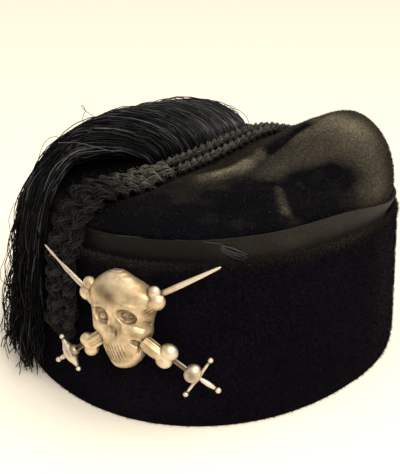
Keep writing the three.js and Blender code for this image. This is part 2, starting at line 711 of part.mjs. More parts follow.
addPiece('turned_up_wall', wallShape, '#0f0d14', 0.95);
addPiece('crown', crownShape, '#1b1716', 0.95);
addPiece('ribbon_band', bandShape, '#2b2925', 0.7);
addPiece('cord_near', cordGeometry(cordNearX), '#1c1f24', 0.6);
addPiece('cord_far', cordGeometry(cordFarX), '#1c1f24', 0.6);
addPiece('plait', plaitGeometry(), '#1c1f24', 0.6);
addPiece('fringe', fringeGeometry(), '#1a1d22', 0.55);
addPiece('badge', badgeGeometry(), '#c9b79a', 0.35, 0.9);
addPiece('badge_pin', pinGeometry(), '#8d8778', 0.4, 0.9);

const middle = new THREE.Box3().setFromObject(part).getCenter(new THREE.Vector3());
for (const piece of part.children) piece.geometry.translate(-middle.x, -middle.y, 0);

export default part;
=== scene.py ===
import json
import math

import bpy
import numpy as np
from mathutils import Matrix, Vector
from mathutils.bvhtree import BVHTree

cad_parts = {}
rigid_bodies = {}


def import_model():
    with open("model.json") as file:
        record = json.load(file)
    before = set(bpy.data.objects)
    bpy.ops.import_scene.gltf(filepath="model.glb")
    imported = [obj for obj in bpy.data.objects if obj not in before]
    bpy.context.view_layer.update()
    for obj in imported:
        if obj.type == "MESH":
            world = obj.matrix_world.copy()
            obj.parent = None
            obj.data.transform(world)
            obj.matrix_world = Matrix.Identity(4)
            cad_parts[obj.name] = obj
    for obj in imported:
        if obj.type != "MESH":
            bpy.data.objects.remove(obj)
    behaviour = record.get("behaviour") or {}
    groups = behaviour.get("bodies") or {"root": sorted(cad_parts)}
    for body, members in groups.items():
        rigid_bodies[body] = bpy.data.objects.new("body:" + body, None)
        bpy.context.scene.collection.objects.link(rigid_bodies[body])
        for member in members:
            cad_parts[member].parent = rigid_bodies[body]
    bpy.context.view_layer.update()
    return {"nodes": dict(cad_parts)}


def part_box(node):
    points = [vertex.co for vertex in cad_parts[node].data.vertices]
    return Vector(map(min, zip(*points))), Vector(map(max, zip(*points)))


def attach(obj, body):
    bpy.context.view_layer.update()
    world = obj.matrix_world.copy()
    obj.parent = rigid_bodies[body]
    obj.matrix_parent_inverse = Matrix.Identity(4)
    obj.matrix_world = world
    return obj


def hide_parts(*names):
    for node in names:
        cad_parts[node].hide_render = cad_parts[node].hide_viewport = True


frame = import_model()
nodes = frame["nodes"]
print("frame loaded:", ", ".join(sorted(nodes)))

mm = 0.001
degree = math.pi / 180

# Everything is drawn in millimetres round the middle of the wall, with the front towards -Y
wallLow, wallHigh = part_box("turned_up_wall")
capMiddle = np.array([(wallLow.x + wallHigh.x) / 2, (wallLow.y + wallHigh.y) / 2, 0])


def toPart(points):
    return np.asarray(points, float) * mm + capMiddle


def toCap(points):
    return (np.asarray(points, float) - capMiddle) / mm


# Angles round the cap in degrees, from 0 at the front through 90 on the wearer's left
def roundCap(points):
    return np.degrees(np.arctan2(points[:, 0], -points[:, 1])) % 360


def unit(vectors):
    vectors = np.asarray(vectors, float)
    return vectors / np.maximum(np.linalg.norm(vectors, axis=-1, keepdims=True), 1e-9)


def smooth(share):
    share = np.clip(share, 0, 1)
    return share * share * (3 - 2 * share)


def addObject(name, data):
    made = bpy.data.objects.new(name, data)
    bpy.context.scene.collection.objects.link(made)
    return made


# The view of the photograph, which is 400 x 474: its size and focal length in pixels, the rest in
# degrees and millimetres, the sensor too, and clipEnd in metres
photo = dict(width=400, height=474, focal=754.42, azimuth=47, elevation=22.51, distance=400, roll=0.75,
             targetAside=-8.2, targetHeight=49.66, sensor=36, clipEnd=20)

turnRound = photo["azimuth"] * degree
tipUp = photo["elevation"] * degree
back = np.array([math.sin(turnRound) * math.cos(tipUp), -math.cos(turnRound) * math.cos(tipUp),
                 math.sin(tipUp)])
target = np.array([photo["targetAside"] * math.cos(turnRound), photo["targetAside"] * math.sin(turnRound),
                   photo["targetHeight"]])
eye = target + photo["distance"] * back
levelRight = unit(np.cross(-back, (0, 0, 1)))
levelUp = np.cross(levelRight, -back)
roll = photo["roll"] * degree
viewRight = levelRight * math.cos(roll) + levelUp * math.sin(roll)
viewUp = levelUp * math.cos(roll) - levelRight * math.sin(roll)

cameraData = bpy.data.cameras.new("photoCamera")
cameraData.sensor_width = photo["sensor"]
cameraData.lens = photo["focal"] * photo["sensor"] / photo["height"]
cameraData.clip_end = photo["clipEnd"]
camera = addObject("photoCamera", cameraData)
cameraTurn = Matrix([viewRight, viewUp, back]).transposed().to_4x4()
camera.matrix_world = Matrix.Translation(Vector(toPart(eye))) @ cameraTurn
bpy.context.scene.camera = camera


def photoRay(across, down):
    sideways = viewRight * (across - photo["width"] / 2) / photo["focal"]
    upwards = viewUp * (photo["height"] / 2 - down) / photo["focal"]
    return unit(sideways + upwards - back)


# Small tools

# The rows of a table, each a dictionary under the named columns
def table(columns, *rows):
    return [dict(zip(columns.split(), row)) for row in rows]


# An sRGB hex colour turned to linear
def hexColour(text):
    values = [int(text[i:i + 2], 16) / 255 for i in (1, 3, 5)]
    return [v / 12.92 if v <= 0.04045 else ((v + 0.055) / 1.055) ** 2.4 for v in values] + [1.0]


def selectOnly(*pieces):
    for other in bpy.context.view_layer.objects:
        other.select_set(other in pieces)
    if pieces:
        bpy.context.view_layer.objects.active = pieces[0]


def coordsOf(mesh, field="vertices", key="co"):
    values = np.zeros(len(getattr(mesh, field)) * 3)
    getattr(mesh, field).foreach_get(key, values)
    return values.reshape(-1, 3)


def moveTo(mesh, points):
    mesh.vertices.foreach_set("co", toPart(points).ravel())
    mesh.update()


# A value for each point that a material reads by its name
def setTone(mesh, values, name="tone"):
    layer = mesh.attributes.get(name) or mesh.attributes.new(name, "FLOAT", "POINT")
    layer.data.foreach_set("value", np.asarray(values, np.float32))


def meshPiece(name, points, faces, placed=toPart):
    mesh = bpy.data.meshes.new(name)
    mesh.from_pydata(placed(points).tolist(), [], faces)
    mesh.shade_smooth()
    return addObject(name, mesh)


def finishPiece(piece, material, slot, *replaced):
    piece.data.materials.clear()
    piece.data.materials.append(material)
    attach(piece, "root")
    if replaced:
        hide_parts(*replaced)


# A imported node's mesh with its loose triangles merged into quads, and made finer. Merge is in
# millimetres, and most is how far two triangles of a quad may differ, in radians.
copyLook = dict(merge=0.02, most=1.2)


def copyOfNode(node, name, levels):
    mesh = nodes[node].data.copy()
    mesh.name = name
    piece = addObject(name, mesh)
    selectOnly(piece)
    bpy.ops.mesh.customdata_custom_splitnormals_clear()
    bpy.ops.object.mode_set(mode="EDIT")
    bpy.ops.mesh.select_all(action="SELECT")
    bpy.ops.mesh.remove_doubles(threshold=copyLook["merge"] * mm)
    bpy.ops.mesh.tris_convert_to_quads(face_threshold=copyLook["most"], shape_threshold=copyLook["most"])
    bpy.ops.object.mode_set(mode="OBJECT")
    if levels:
        finer = piece.modifiers.new("finer", "SUBSURF")
        finer.levels = levels
        finer.render_levels = levels
        bpy.ops.object.modifier_apply(modifier=finer.name)
    mesh.shade_smooth()
    return piece


def treeOf(piece, placed=toCap):
    faces = [tuple(face.vertices) for face in piece.data.polygons]
    return BVHTree.FromPolygons(placed(coordsOf(piece.data)).tolist(), faces)


# A smooth curve through four values, at a share of the way from the second to the third
def curveThrough(a, b, c, d, share):
    cube, square = share ** 3, share ** 2
    return (b * (2 * cube - 3 * square + 1) + (c - a) / 2 * (cube - 2 * square + share)
            + c * (3 * square - 2 * cube) + (d - b) / 2 * (cube - square))


# A column of a table read smoothly between its rows, which another column places
def between(rows, key, at, column):
    places = [row[key] for row in rows]
    last = len(rows) - 1
    index = min(max(sum(place <= at for place in places) - 1, 0), last - 1)
    near = (rows[min(max(index + step, 0), last)][column] for step in (-1, 0, 1, 2))
    return curveThrough(*near, (at - places[index]) / (places[index + 1] - places[index]))


# Tubes along many routes at once. Routes is an array of thread by step by 3, and sideways a direction for
# each of its steps, or for each thread, or one for all.
def tubes(routes, radius, sides, sideways):
    count, steps, _ = routes.shape
    along = unit(np.gradient(routes, axis=1))
    first = unit(sideways - along * np.sum(sideways * along, axis=2, keepdims=True))
    second = np.cross(along, first)
    turns = np.arange(sides) * 2 * math.pi / sides
    radius = np.broadcast_to(np.asarray(radius, float), (count, steps))[:, :, None, None]
    rings = (routes[:, :, None, :] + radius * (np.cos(turns)[None, None, :, None] * first[:, :, None, :]
             + np.sin(turns)[None, None, :, None] * second[:, :, None, :]))
    points = rings.reshape(-1, 3)
    base = (np.arange(count)[:, None, None] * steps + np.arange(steps - 1)[None, :, None]) * sides
    here = base + np.arange(sides)[None, None, :]
    after = base + (np.arange(sides)[None, None, :] + 1) % sides
    quads = np.stack([here, after, after + sides, here + sides], axis=-1).reshape(-1, 4)
    starts = np.arange(count) * steps * sides
    ends = starts + (steps - 1) * sides
    startCaps = starts[:, None] + np.arange(sides)[None, ::-1]
    endCaps = ends[:, None] + np.arange(sides)[None, :]
    return points, quads.tolist() + startCaps.tolist() + endCaps.tolist()


def resample(route, steps):
    lengths = np.concatenate([[0], np.cumsum(np.linalg.norm(np.diff(route, axis=0), axis=1))])
    at = np.linspace(0, lengths[-1], steps)
    return np.stack([np.interp(at, lengths, route[:, axis]) for axis in range(3)], axis=1), lengths[-1]


def soften(route, rounds):
    for _ in range(rounds):
        middle = (route[:-2] + 2 * route[1:-1] + route[2:]) / 4
        route = np.concatenate([route[:1], middle, route[-1:]])
    return route


# Materials

def newMaterial(name):
    material = bpy.data.materials.new(name)
    material.use_nodes = True
    material.node_tree.nodes.clear()
    return material


# Adds a node and gives back one of its outputs. An input takes a number, a hex colour or a socket to link.
def addNode(owner, kind, inputs=None, output=0, **settings):
    node = owner.node_tree.nodes.new("ShaderNode" + kind)
    for key, value in settings.items():
        setattr(node, key, value)
    for key, value in (inputs or {}).items():
        if isinstance(value, bpy.types.NodeSocket):
            owner.node_tree.links.new(value, node.inputs[key])
        else:
            node.inputs[key].default_value = hexColour(value) if isinstance(value, str) else value
    return node.outputs[output] if len(node.outputs) else None


# With these a Mix node takes its share at input 0 and its two colours at 6 and 7
colourMix = dict(output=2, data_type="RGBA")


def finishMaterial(material, settings):
    shader = addNode(material, "BsdfPrincipled", settings)
    addNode(material, "OutputMaterial", {"Surface": shader})
    return material


# What cloth and yarn share: a fine grain flecks the colour and roughens it. Sizes are in millimetres:
# grain is the width of a tuft or a thread, drawn as coarse as it needs to show, and relief its height.
def clothMaterial(look, colourOf):
    material = newMaterial(look["name"])
    place = addNode(material, "TexCoord", output="Object")
    tone = addNode(material, "Attribute", output="Fac", attribute_name="tone")
    grain = addNode(material, "TexNoise", {"Scale": 1 / (look["grain"] * mm), "Detail": look["detail"],
                                           "Vector": place})
    fromMin, fromMax, toMin, toMax = look["fleck"]
    fleck = addNode(material, "MapRange", {"Value": grain, "From Min": fromMin, "From Max": fromMax,
                                           "To Min": toMin, "To Max": toMax})
    colour = addNode(material, "VectorMath", {"Vector": colourOf(material, place, tone), "Scale": fleck},
                     operation="SCALE")
    bump = addNode(material, "Bump", {"Height": grain, "Strength": look["rough"],
                                      "Distance": look["relief"] * mm})
    return finishMaterial(material, {**look["finish"], "Base Color": colour, "Normal": bump})


# Cotton plush, a long cut pile: swallows the light, a little blue, with a painted brown sheen where its tone
# is raised
plushLook = dict(name="cotton plush, long cut pile", patches=16.67, grain=1.111, detail=2,
                 fleck=(0.35, 0.7, 0.6, 1.5), rough=0.5, relief=0.6,
                 finish={"Roughness": 0.95, "Specular IOR Level": 0.02, "Sheen Weight": 0.01,
                         "Sheen Roughness": 0.4, "Sheen Tint": "#8c857c"})


def plushColour(material, place, tone):
    patches = addNode(material, "TexNoise", {"Scale": 1 / (plushLook["patches"] * mm), "Detail": 3,
                                             "Vector": place})
    base = addNode(material, "Mix", {0: patches, 6: "#030208", 7: "#08070f"}, **colourMix)
    return addNode(material, "Mix", {0: tone, 6: base, 7: "#38332d"}, **colourMix)


# Silk velvet, a short cut pile: black, with a painted olive-brown sheen where its tone is raised
velvetLook = dict(name="silk velvet, short cut pile", patches=13.33, grain=0.909, detail=2,
                  fleck=(0.35, 0.7, 0.55, 1.5), rough=0.4, relief=0.4,
                  finish={"Roughness": 0.9, "Specular IOR Level": 0.03, "Sheen Weight": 0.05,
                          "Sheen Roughness": 0.35, "Sheen Tint": "#a8977c"})


def velvetColour(material, place, tone):
    patches = addNode(material, "TexNoise", {"Scale": 1 / (velvetLook["patches"] * mm), "Detail": 4,
                                             "Roughness": 0.6, "Vector": place})
    shade = addNode(material, "MapRange", {"Value": patches, "From Min": 0.3, "From Max": 0.7,
                                           "To Min": -0.05, "To Max": 0.03})
    lean = addNode(material, "Math", {0: tone, 1: shade}, operation="ADD", use_clamp=True)
    # The mix from black to olive brown is the painted sheen, driven by the painted tone
    return addNode(material, "Mix", {0: lean, 6: "#040408", 7: "#615b4d"}, **colourMix)


# Rayon grosgrain: fine upright ribs over a black warp, with a dull grey-brown painted sheen where its tone is
# raised
grosgrainLook = dict(name="rayon grosgrain, woven", wear=8.33, grain=0.769, detail=2,
                     fleck=(0.3, 0.7, 0.5, 1.55), rough=0.3, relief=0.2,
                     finish={"Roughness": 0.6, "Specular IOR Level": 0.12, "Sheen Weight": 0.03,
                             "Sheen Roughness": 0.4})


def grosgrainColour(material, place, tone):
    wear = addNode(material, "TexNoise", {"Scale": 1 / (grosgrainLook["wear"] * mm), "Detail": 5,
                                          "Roughness": 0.65, "Vector": place})
    dark = addNode(material, "Mix", {0: wear, 6: "#050404", 7: "#0e0c0a"}, **colourMix)
    light = addNode(material, "Mix", {0: wear, 6: "#1f1d19", 7: "#3c372f"}, **colourMix)
    # The tone mixes a shaded copy and a lit copy of the ribbon's colour: painted sheen
    return addNode(material, "Mix", {0: tone, 6: dark, 7: light}, **colourMix)


# Spun cotton yarn, blue-black, with a painted grey highlight on its crowns and painted shade between them
yarnLook = dict(name="cotton yarn, spun and plaited", grain=0.714, detail=3, fleck=(0.3, 0.7, 0.55, 1.4),
                rough=0.5, relief=0.3, finish={"Roughness": 0.75, "Specular IOR Level": 0.12,
                                               "Sheen Weight": 0.05, "Sheen Roughness": 0.4})


def yarnColour(material, place, tone):
    return addNode(material, "Mix", {0: tone, 6: "#020204", 7: "#4b4b44"}, **colourMix)


# Rayon thread, blue-black, with a soft line of light along each thread
def threadMaterial():
    material = newMaterial("rayon thread, twisted")
    tone = addNode(material, "Attribute", output="Fac", attribute_name="tone")
    colour = addNode(material, "Mix", {0: tone, 6: "#020203", 7: "#4a4c50"}, **colourMix)
    gleam = addNode(material, "MapRange", {"Value": tone, "To Min": 0.05, "To Max": 0.4})
    return finishMaterial(material, {"Roughness": 0.34, "Base Color": colour, "Specular IOR Level": gleam})


# Silver, cast and chased, gone to a warm champagne tone, darker in its hollows. Sizes in millimetres.
silverLook = dict(patches=5.88, grain=0.769, relief=0.2)


def silverMaterial():
    material = newMaterial("silver, cast and chased, aged")
    place = addNode(material, "TexCoord", output="Object")
    hollow, stain, pale = (addNode(material, "Attribute", output="Fac", attribute_name=name)
                           for name in ("hollow", "stain", "pale"))
    worn = addNode(material, "TexNoise", {"Scale": 1 / (silverLook["patches"] * mm), "Detail": 5,
                                          "Roughness": 0.65, "Vector": place})
    fine = addNode(material, "TexNoise", {"Scale": 1 / (silverLook["grain"] * mm), "Detail": 3,
                                          "Vector": place})
    patchy = addNode(material, "MapRange", {"Value": worn, "From Min": 0.35, "From Max": 0.62})
    clean = addNode(material, "Mix", {0: patchy, 6: "#aa9472", 7: "#decaaa"}, **colourMix)
    bright = addNode(material, "Mix", {0: pale, 6: clean, 7: "#d8cdbd"}, **colourMix)
    blotchy = addNode(material, "MapRange", {"Value": worn, "To Min": 0.6, "To Max": 1.3})
    tarnish = addNode(material, "Math", {0: stain, 1: blotchy}, operation="MULTIPLY", use_clamp=True)
    toned = addNode(material, "Mix", {0: tarnish, 6: bright, 7: "#6f5c49"}, **colourMix)
    grime = addNode(material, "Math", {0: hollow, 1: 1.35}, operation="MULTIPLY", use_clamp=True)
    colour = addNode(material, "Mix", {0: grime, 6: toned, 7: "#2b1e12"}, **colourMix)
    rough = addNode(material, "MapRange", {"Value": worn, "From Min": 0.3, "From Max": 0.7,
                                           "To Min": 0.54, "To Max": 0.4})
    bump = addNode(material, "Bump", {"Height": fine, "Strength": 0.25,
                                      "Distance": silverLook["relief"] * mm})
    return finishMaterial(material, {"Metallic": 1.0, "Base Color": colour, "Roughness": rough,
                                     "Normal": bump})


# Two tones in fine grains: drawn steel wire for the pin nobody sees, and the paper that the cap stands on
def grainyMaterial(name, grain, first, second, finish):
    material = newMaterial(name)
    place = addNode(material, "TexCoord", output="Object")
    grains = addNode(material, "TexNoise", {"Scale": 1 / (grain * mm), "Detail": 2, "Vector": place})
    colour = addNode(material, "Mix", {0: grains, 6: first, 7: second}, **colourMix)
    return finishMaterial(material, {**finish, "Base Color": colour})


plush = clothMaterial(plushLook, plushColour)
velvet = clothMaterial(velvetLook, velvetColour)
grosgrain = clothMaterial(grosgrainLook, grosgrainColour)
yarn = clothMaterial(yarnLook, yarnColour)
rayon = threadMaterial()
silver = silverMaterial()
pinSteel = grainyMaterial("steel, drawn and flattened", 1.111, "#6f6b63", "#9a958b",
                          {"Metallic": 1.0, "Roughness": 0.4})
paper = grainyMaterial("seamless paper, matt", 2.5, "#eae4d8", "#f0eadf",
                       {"Roughness": 0.9, "Specular IOR Level": 0.1})
print("materials made")


# A cut pile as thousands of little three-sided spikes, sown over chosen faces. Lengths and tones are
# the shares of a look's own length and tone that they vary between, and sunk is in millimetres.
pileLook = dict(lengths=(0.55, 1.25), tones=(0.5, 1.5), glintPower=4, sunk=0.15)


def sowPile(name, source, chosen, look, material, slot):
    rng = np.random.default_rng(look["seed"])
    count = look["count"]
    mesh = source.data
    mesh.calc_loop_triangles()
    corners = np.zeros(len(mesh.loop_triangles) * 3, int)
    mesh.loop_triangles.foreach_get("vertices", corners)
    corners = corners.reshape(-1, 3)
    points = toCap(coordsOf(mesh))
    normals = coordsOf(mesh, "vertices", "normal")
    triangles = points[corners]
    across = np.cross(triangles[:, 1] - triangles[:, 0], triangles[:, 2] - triangles[:, 0])
    weight = np.linalg.norm(across, axis=1) * chosen(triangles.mean(axis=1), unit(across))
    picks = rng.choice(len(corners), count, p=weight / weight.sum())
    share = rng.dirichlet((1, 1, 1), count)
    roots = np.einsum("nk,nkd->nd", share, points[corners[picks]])
    upright = unit(np.einsum("nk,nkd->nd", share, normals[corners[picks]]))
    # Each spike takes the painted sheen and shade of the surface under it, and a few get a painted glint
    tones = np.zeros(len(mesh.vertices), np.float32)
    mesh.attributes["tone"].data.foreach_get("value", tones)
    tone = np.einsum("nk,nk->n", share, tones[corners[picks]]) * rng.uniform(*pileLook["tones"], count)
    tone += look["glint"] * rng.uniform(0, 1, count) ** pileLook["glintPower"]
    lean = unit(upright + np.array(look["lie"]) + rng.normal(0, look["unruly"], roots.shape))
    length = look["length"] * rng.uniform(*pileLook["lengths"], count)[:, None]
    aside = unit(np.cross(lean, rng.normal(0, 1, roots.shape)))
    aside2 = np.cross(lean, aside)
    foot = roots - pileLook["sunk"] * upright
    spikes = np.empty((count, 4, 3))
    for corner in range(3):
        turn = corner * 2 * math.pi / 3
        spikes[:, corner] = foot + look["radius"] * (math.cos(turn) * aside + math.sin(turn) * aside2)
    spikes[:, 3] = roots + lean * length
    spikes[:, :, 2] = np.maximum(spikes[:, :, 2], look["lowest"])
    first = np.arange(count)[:, None] * 4
    faces = np.concatenate([first + np.array(face) for face in ((0, 1, 3), (1, 2, 3), (2, 0, 3), (2, 1, 0))])
    pile = meshPiece(name, spikes.reshape(-1, 3), faces.tolist())
    setTone(pile.data, np.repeat(np.clip(tone, 0, 1), 4))
    finishPiece(pile, material, slot)


# Crown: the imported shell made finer, then pleated and pressed where the photograph shows it.
# Folds run along pixels of the photograph, and height is how far they stand out, in millimetres.
# Its pile starts above the ribbon, on faces that look away from the heart, a line inside the crown.
crownLook = dict(levels=2, seed=11, count=30000, length=0.9, radius=0.165, lie=(0.1, 0.2, -0.5), unruly=0.28,
                 glint=0.4, lowest=60, tone=0.05, crestHighlight=0.08, crestFrom=96, crestOver=18, pileFrom=74,
                 heartAside=5.0, heartShare=0.8, heartHeight=40.0)
crownFolds = table(
    "name height width pixels",
    ("lip beside the cord", 1.3, 2.0, ((196, 178), (215, 175), (232, 170), (246, 162))),
    ("hollow behind the lip", -1.8, 2.4, ((204, 186), (224, 182), (242, 174), (256, 165))),
    ("second lip", 1.3, 1.9, ((256, 152), (270, 142), (288, 130), (304, 120), (320, 112))),
    ("hollow under the second lip", -2.4, 2.3, ((262, 156), (272, 149), (281, 142), (293, 132),
     (308, 123), (324, 115))),
    ("pleat", 1.2, 1.6, ((275, 184), (280, 196), (284, 208), (286, 216))),
    ("press left of the pleat", -1.2, 6.0, ((222, 212), (240, 206), (258, 204))),
    ("press right of the pleat", -1.8, 6.0, ((318, 186), (332, 180), (342, 172))),
)
# Painted sheen and shade on the velvet, along pixels: tone above 0 is a painted highlight where the pile
# catches light, below 0 painted shade in hollows and presses. Tone runs from -1 (black) to 1, spread in
# millimetres
crownPaintedLight = table(
    "name spread tone pixels",
    ("start of the lip", 4, 0.35, ((203, 178), (212, 176))),
    ("lip", 3.2, 0.8, ((218, 174), (228, 171), (238, 168), (246, 163))),
    ("end of the lip", 3, 0.3, ((250, 160), (262, 152))),
    ("left of the dome", 6, 0.25, ((298, 134), (318, 128))),
    ("top of the dome", 10, 0.65, ((336, 119), (350, 124))),
    ("right of the dome", 11, 0.25, ((366, 138), (375, 158), (380, 180))),
    ("middle of the dome", 14, 0.17, ((300, 155), (335, 145))),
    ("below the lip", 8, 0.13, ((268, 174), (276, 168))),
    ("above the ribbon", 6, 0.15, ((366, 194), (376, 190))),
    ("pleat", 2.1, 0.4, ((278, 190), (280, 198), (283, 206), (285, 213))),
    ("right press", 6.5, -0.2, ((326, 182), (340, 174))),
    ("under the second lip", 3, -0.32, ((270, 149), (284, 139), (296, 130), (310, 122))),
    ("left press", 11, -0.35, ((228, 212), (250, 210), (264, 196))),
    ("along the ribbon", 9, -0.15, ((130, 216), (175, 224), (218, 226), (250, 222))),
    ("under the fringe", 13, -0.12, ((96, 180), (112, 174), (130, 206))),
    ("over the ribbon", 7, -0.08, ((306, 206), (328, 202))),
    ("middle press", 5, -0.12, ((296, 176), (312, 172), (328, 168))),
)


def onSurface(tree, pixel):
    place, normal, _, _ = tree.ray_cast(Vector(eye), Vector(photoRay(*pixel)))
    return (np.array(place), np.array(normal)) if place else (None, None)


# How far points lie from a line drawn along pixels, and which way is out of the cloth there
def alongPixels(points, tree, pixels):
    spots = [onSurface(tree, pixel) for pixel in pixels]
    spots = [spot for spot in spots if spot[0] is not None]
    away = np.full(len(points), 1e9)
    outward = np.zeros_like(points)
    for (start, startNormal), (end, endNormal) in zip(spots, spots[1:]):
        run = end - start
        share = np.clip((points - start) @ run / (run @ run), 0, 1)[:, None]
        distance = np.linalg.norm(points - start - share * run, axis=1)
        nearer = distance < away
        away[nearer] = distance[nearer]
        outward[nearer] = (startNormal + share * (endNormal - startNormal))[nearer]
    return away, unit(outward)


def pressFolds(points, tree, folds):
    moved = points.copy()
    for fold in folds:
        away, outward = alongPixels(points, tree, fold["pixels"])
        moved += outward * (fold["height"] * np.exp(-(away / fold["width"]) ** 2))[:, None]
    return moved


def paintTones(points, tree, strokes, start):
    tone = np.full(len(points), float(start))
    for stroke in strokes:
        away, _ = alongPixels(points, tree, stroke["pixels"])
        tone += stroke["tone"] * np.exp(-(away / stroke["spread"]) ** 2)
    return tone


crown = copyOfNode("crown", "velvetCrown", crownLook["levels"])
crownTree = treeOf(crown)
crownPoints = toCap(coordsOf(crown.data))
crownTone = paintTones(crownPoints, crownTree, crownPaintedLight, crownLook["tone"])
# The top of the crown is a little lighter: a painted highlight where light falls from above
overCrest = (crownPoints[:, 2] - crownLook["crestFrom"]) / crownLook["crestOver"]
crownTone += crownLook["crestHighlight"] * smooth(overCrest)
setTone(crown.data, np.clip(crownTone, 0, 1))
moveTo(crown.data, pressFolds(crownPoints, crownTree, crownFolds))
finishPiece(crown, velvet, "black_velvet", "crown")


def crownOutside(centres, normals):
    heart = np.stack([np.full(len(centres), crownLook["heartAside"]), centres[:, 1] * crownLook["heartShare"],
                      np.full(len(centres), crownLook["heartHeight"])], axis=1)
    outward = np.sum((centres - heart) * normals, axis=1) > 0
    return outward * (centres[:, 2] > crownLook["pileFrom"])


sowPile("crownPile", crown, crownOutside, crownLook, velvet, "black_velvet")
print("crown made:", len(crown.data.polygons), "faces")


# Wall: the imported strip made finer under a longer pile, and a fur along its top edge that a painted sheen
# turns brown. The edge is measured every few degrees, and outward, upward and inward are the least slopes
# of the faces with pile.
wallLook = dict(levels=2, seed=12, count=30000, length=1.3, radius=0.19, lie=(0.1, 0.0, -0.35), unruly=0.3,
                glint=0.1, lowest=0.3, tone=0.02, outward=0.3, upward=0.2, topFrom=50)
brimLook = dict(seed=13, count=12000, length=2.4, radius=0.16, lie=(0, 0, 0.4), unruly=0.5, glint=0,
                lowest=0.3, tone=0.34, toneWave=0.14, waves=5, fade=2.0, pileFade=2.2, inward=-0.2, step=6,
                near=4)
# Painted sheen on the plush, along pixels: tone above 0 lightens it towards brown
wallPaintedSheen = table(
    "name spread tone pixels",
    ("left front", 8, 0.08, ((110, 275), (137, 270))),
    ("right edge", 8, 0.05, ((386, 235), (384, 300))),
    ("under the badge", 14, 0.03, ((130, 398), (165, 404))),
)
wall = copyOfNode("turned_up_wall", "plushWall", wallLook["levels"])
wallTree = treeOf(wall)
wallPoints = toCap(coordsOf(wall.data))
wallTone = paintTones(wallPoints, wallTree, wallPaintedSheen, wallLook["tone"])
wallAngle = roundCap(wallPoints)
brimAngles = np.arange(0, 360, brimLook["step"])
brimHeights = [wallPoints[np.abs((wallAngle - angle + 180) % 360 - 180) < brimLook["near"]][:, 2].max()
               for angle in brimAngles]


def belowBrim(points):
    return np.interp(roundCap(points), brimAngles, brimHeights, period=360) - points[:, 2]


# A painted sheen along the top edge, in waves round the cap, where the pile there catches the light
brimSheen = brimLook["tone"] + brimLook["toneWave"] * np.sin(np.radians(wallAngle * brimLook["waves"]))
wallTone += brimSheen * np.exp(-(belowBrim(wallPoints) / brimLook["fade"]) ** 2)
setTone(wall.data, np.clip(wallTone, 0, 1))
finishPiece(wall, plush, "black_plush", "turned_up_wall")


def facesOut(centres, normals):
    return np.sum(unit(centres * [1, 1, 0]) * normals, axis=1)


def wallOutside(centres, normals):
    brim = (normals[:, 2] > wallLook["upward"]) & (centres[:, 2] > wallLook["topFrom"])
    return ((facesOut(centres, normals) > wallLook["outward"]) | brim) * 1.0


def wallBrim(centres, normals):
    return (np.exp(-(belowBrim(centres) / brimLook["pileFade"]) ** 2)
            * (facesOut(centres, normals) > brimLook["inward"]))


sowPile("wallPile", wall, wallOutside, wallLook, plush, "black_plush")
sowPile("brimPile", wall, wallBrim, brimLook, plush, "black_plush")
print("wall made:", len(wall.data.polygons), "faces")


# Ribbon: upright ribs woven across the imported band, which has its corners in columns round the cap
ribbonLook = dict(ribPitch=1.1, ribHeight=0.1, facesPerRib=4, rows=3, packedColumns=64, radius=90, crisp=60)
band = toCap(coordsOf(copyOfNode("ribbon_band", "bandGuide", 0).data))
bpy.data.objects.remove(bpy.data.objects["bandGuide"])
bandStep = 360 / ribbonLook["packedColumns"]
bandColumn = np.round(roundCap(band) / bandStep) % ribbonLook["packedColumns"]
bandCorners = []
for number in range(ribbonLook["packedColumns"]):
    column = band[bandColumn == number]
    column = column[np.argsort(column[:, 2])]
    low, high = (pair[np.argsort(np.hypot(pair[:, 0], pair[:, 1]))] for pair in (column[:2], column[2:4]))
    bandCorners.append([number * bandStep, *low[0], *low[1], *high[0], *high[1]])
bandCorners = np.array(bandCorners)


# The band's four corners at angles round it: low inside, low outside, high inside, high outside
def roundBand(at):
    corners = np.concatenate([bandCorners[-2:], bandCorners, bandCorners[:2]])
    angles = corners[:, 0].copy()
    angles[:2] -= 360
    angles[-2:] += 360
    index = np.searchsorted(angles, at, side="right") - 1
    share = ((at - angles[index]) / (angles[index + 1] - angles[index]))[:, None]
    return curveThrough(*(corners[index + step, 1:] for step in (-1, 0, 1, 2)), share).reshape(-1, 4, 3)


ribs = int(2 * math.pi * ribbonLook["radius"] / ribbonLook["ribPitch"])
across = ribs * ribbonLook["facesPerRib"]
bandAt = np.arange(across) * 360 / across
corner = roundBand(bandAt)
rib = ribbonLook["ribHeight"] * np.abs(np.sin(math.pi * np.arange(across) / ribbonLook["facesPerRib"]))
bandOut = unit(corner[:, 1] * np.array([1, 1, 0]))
bandRings = []
for row in range(ribbonLook["rows"] + 1):
    share = row / ribbonLook["rows"]
    bandRings.append(corner[:, 1] + (corner[:, 3] - corner[:, 1]) * share + bandOut * rib[:, None])
for row in range(2):
    bandRings.append(corner[:, 2] + (corner[:, 0] - corner[:, 2]) * row)
ringCount = len(bandRings)
bandFaces = []
for ring in range(ringCount):
    here = ring * across + np.arange(across)
    nextRing = ((ring + 1) % ringCount) * across + np.arange(across)
    bandFaces.append(np.stack([here, np.roll(here, -1), np.roll(nextRing, -1), nextRing], axis=1))
# Painted sheen along pixels, lighter towards the right where the light falls
ribbonPaintedSheen = table(
    "name spread tone pixels",
    ("middle", 11, 0.17, ((236, 250), (275, 244))),
    ("right", 12, 0.33, ((300, 238), (330, 228), (362, 218))),
    ("right end", 10, 0.25, ((380, 208), (390, 202))),
)
ribbon = meshPiece("grosgrainBand", np.concatenate(bandRings), np.concatenate(bandFaces).tolist())
ribbonPoints = np.concatenate(bandRings)
setTone(ribbon.data, np.clip(paintTones(ribbonPoints, treeOf(ribbon), ribbonPaintedSheen, 0.0), 0, 1))
selectOnly(ribbon)
bpy.ops.object.shade_smooth_by_angle(angle=ribbonLook["crisp"] * degree)
finishPiece(ribbon, grosgrain, "ribbed_ribbon", "ribbon_band")

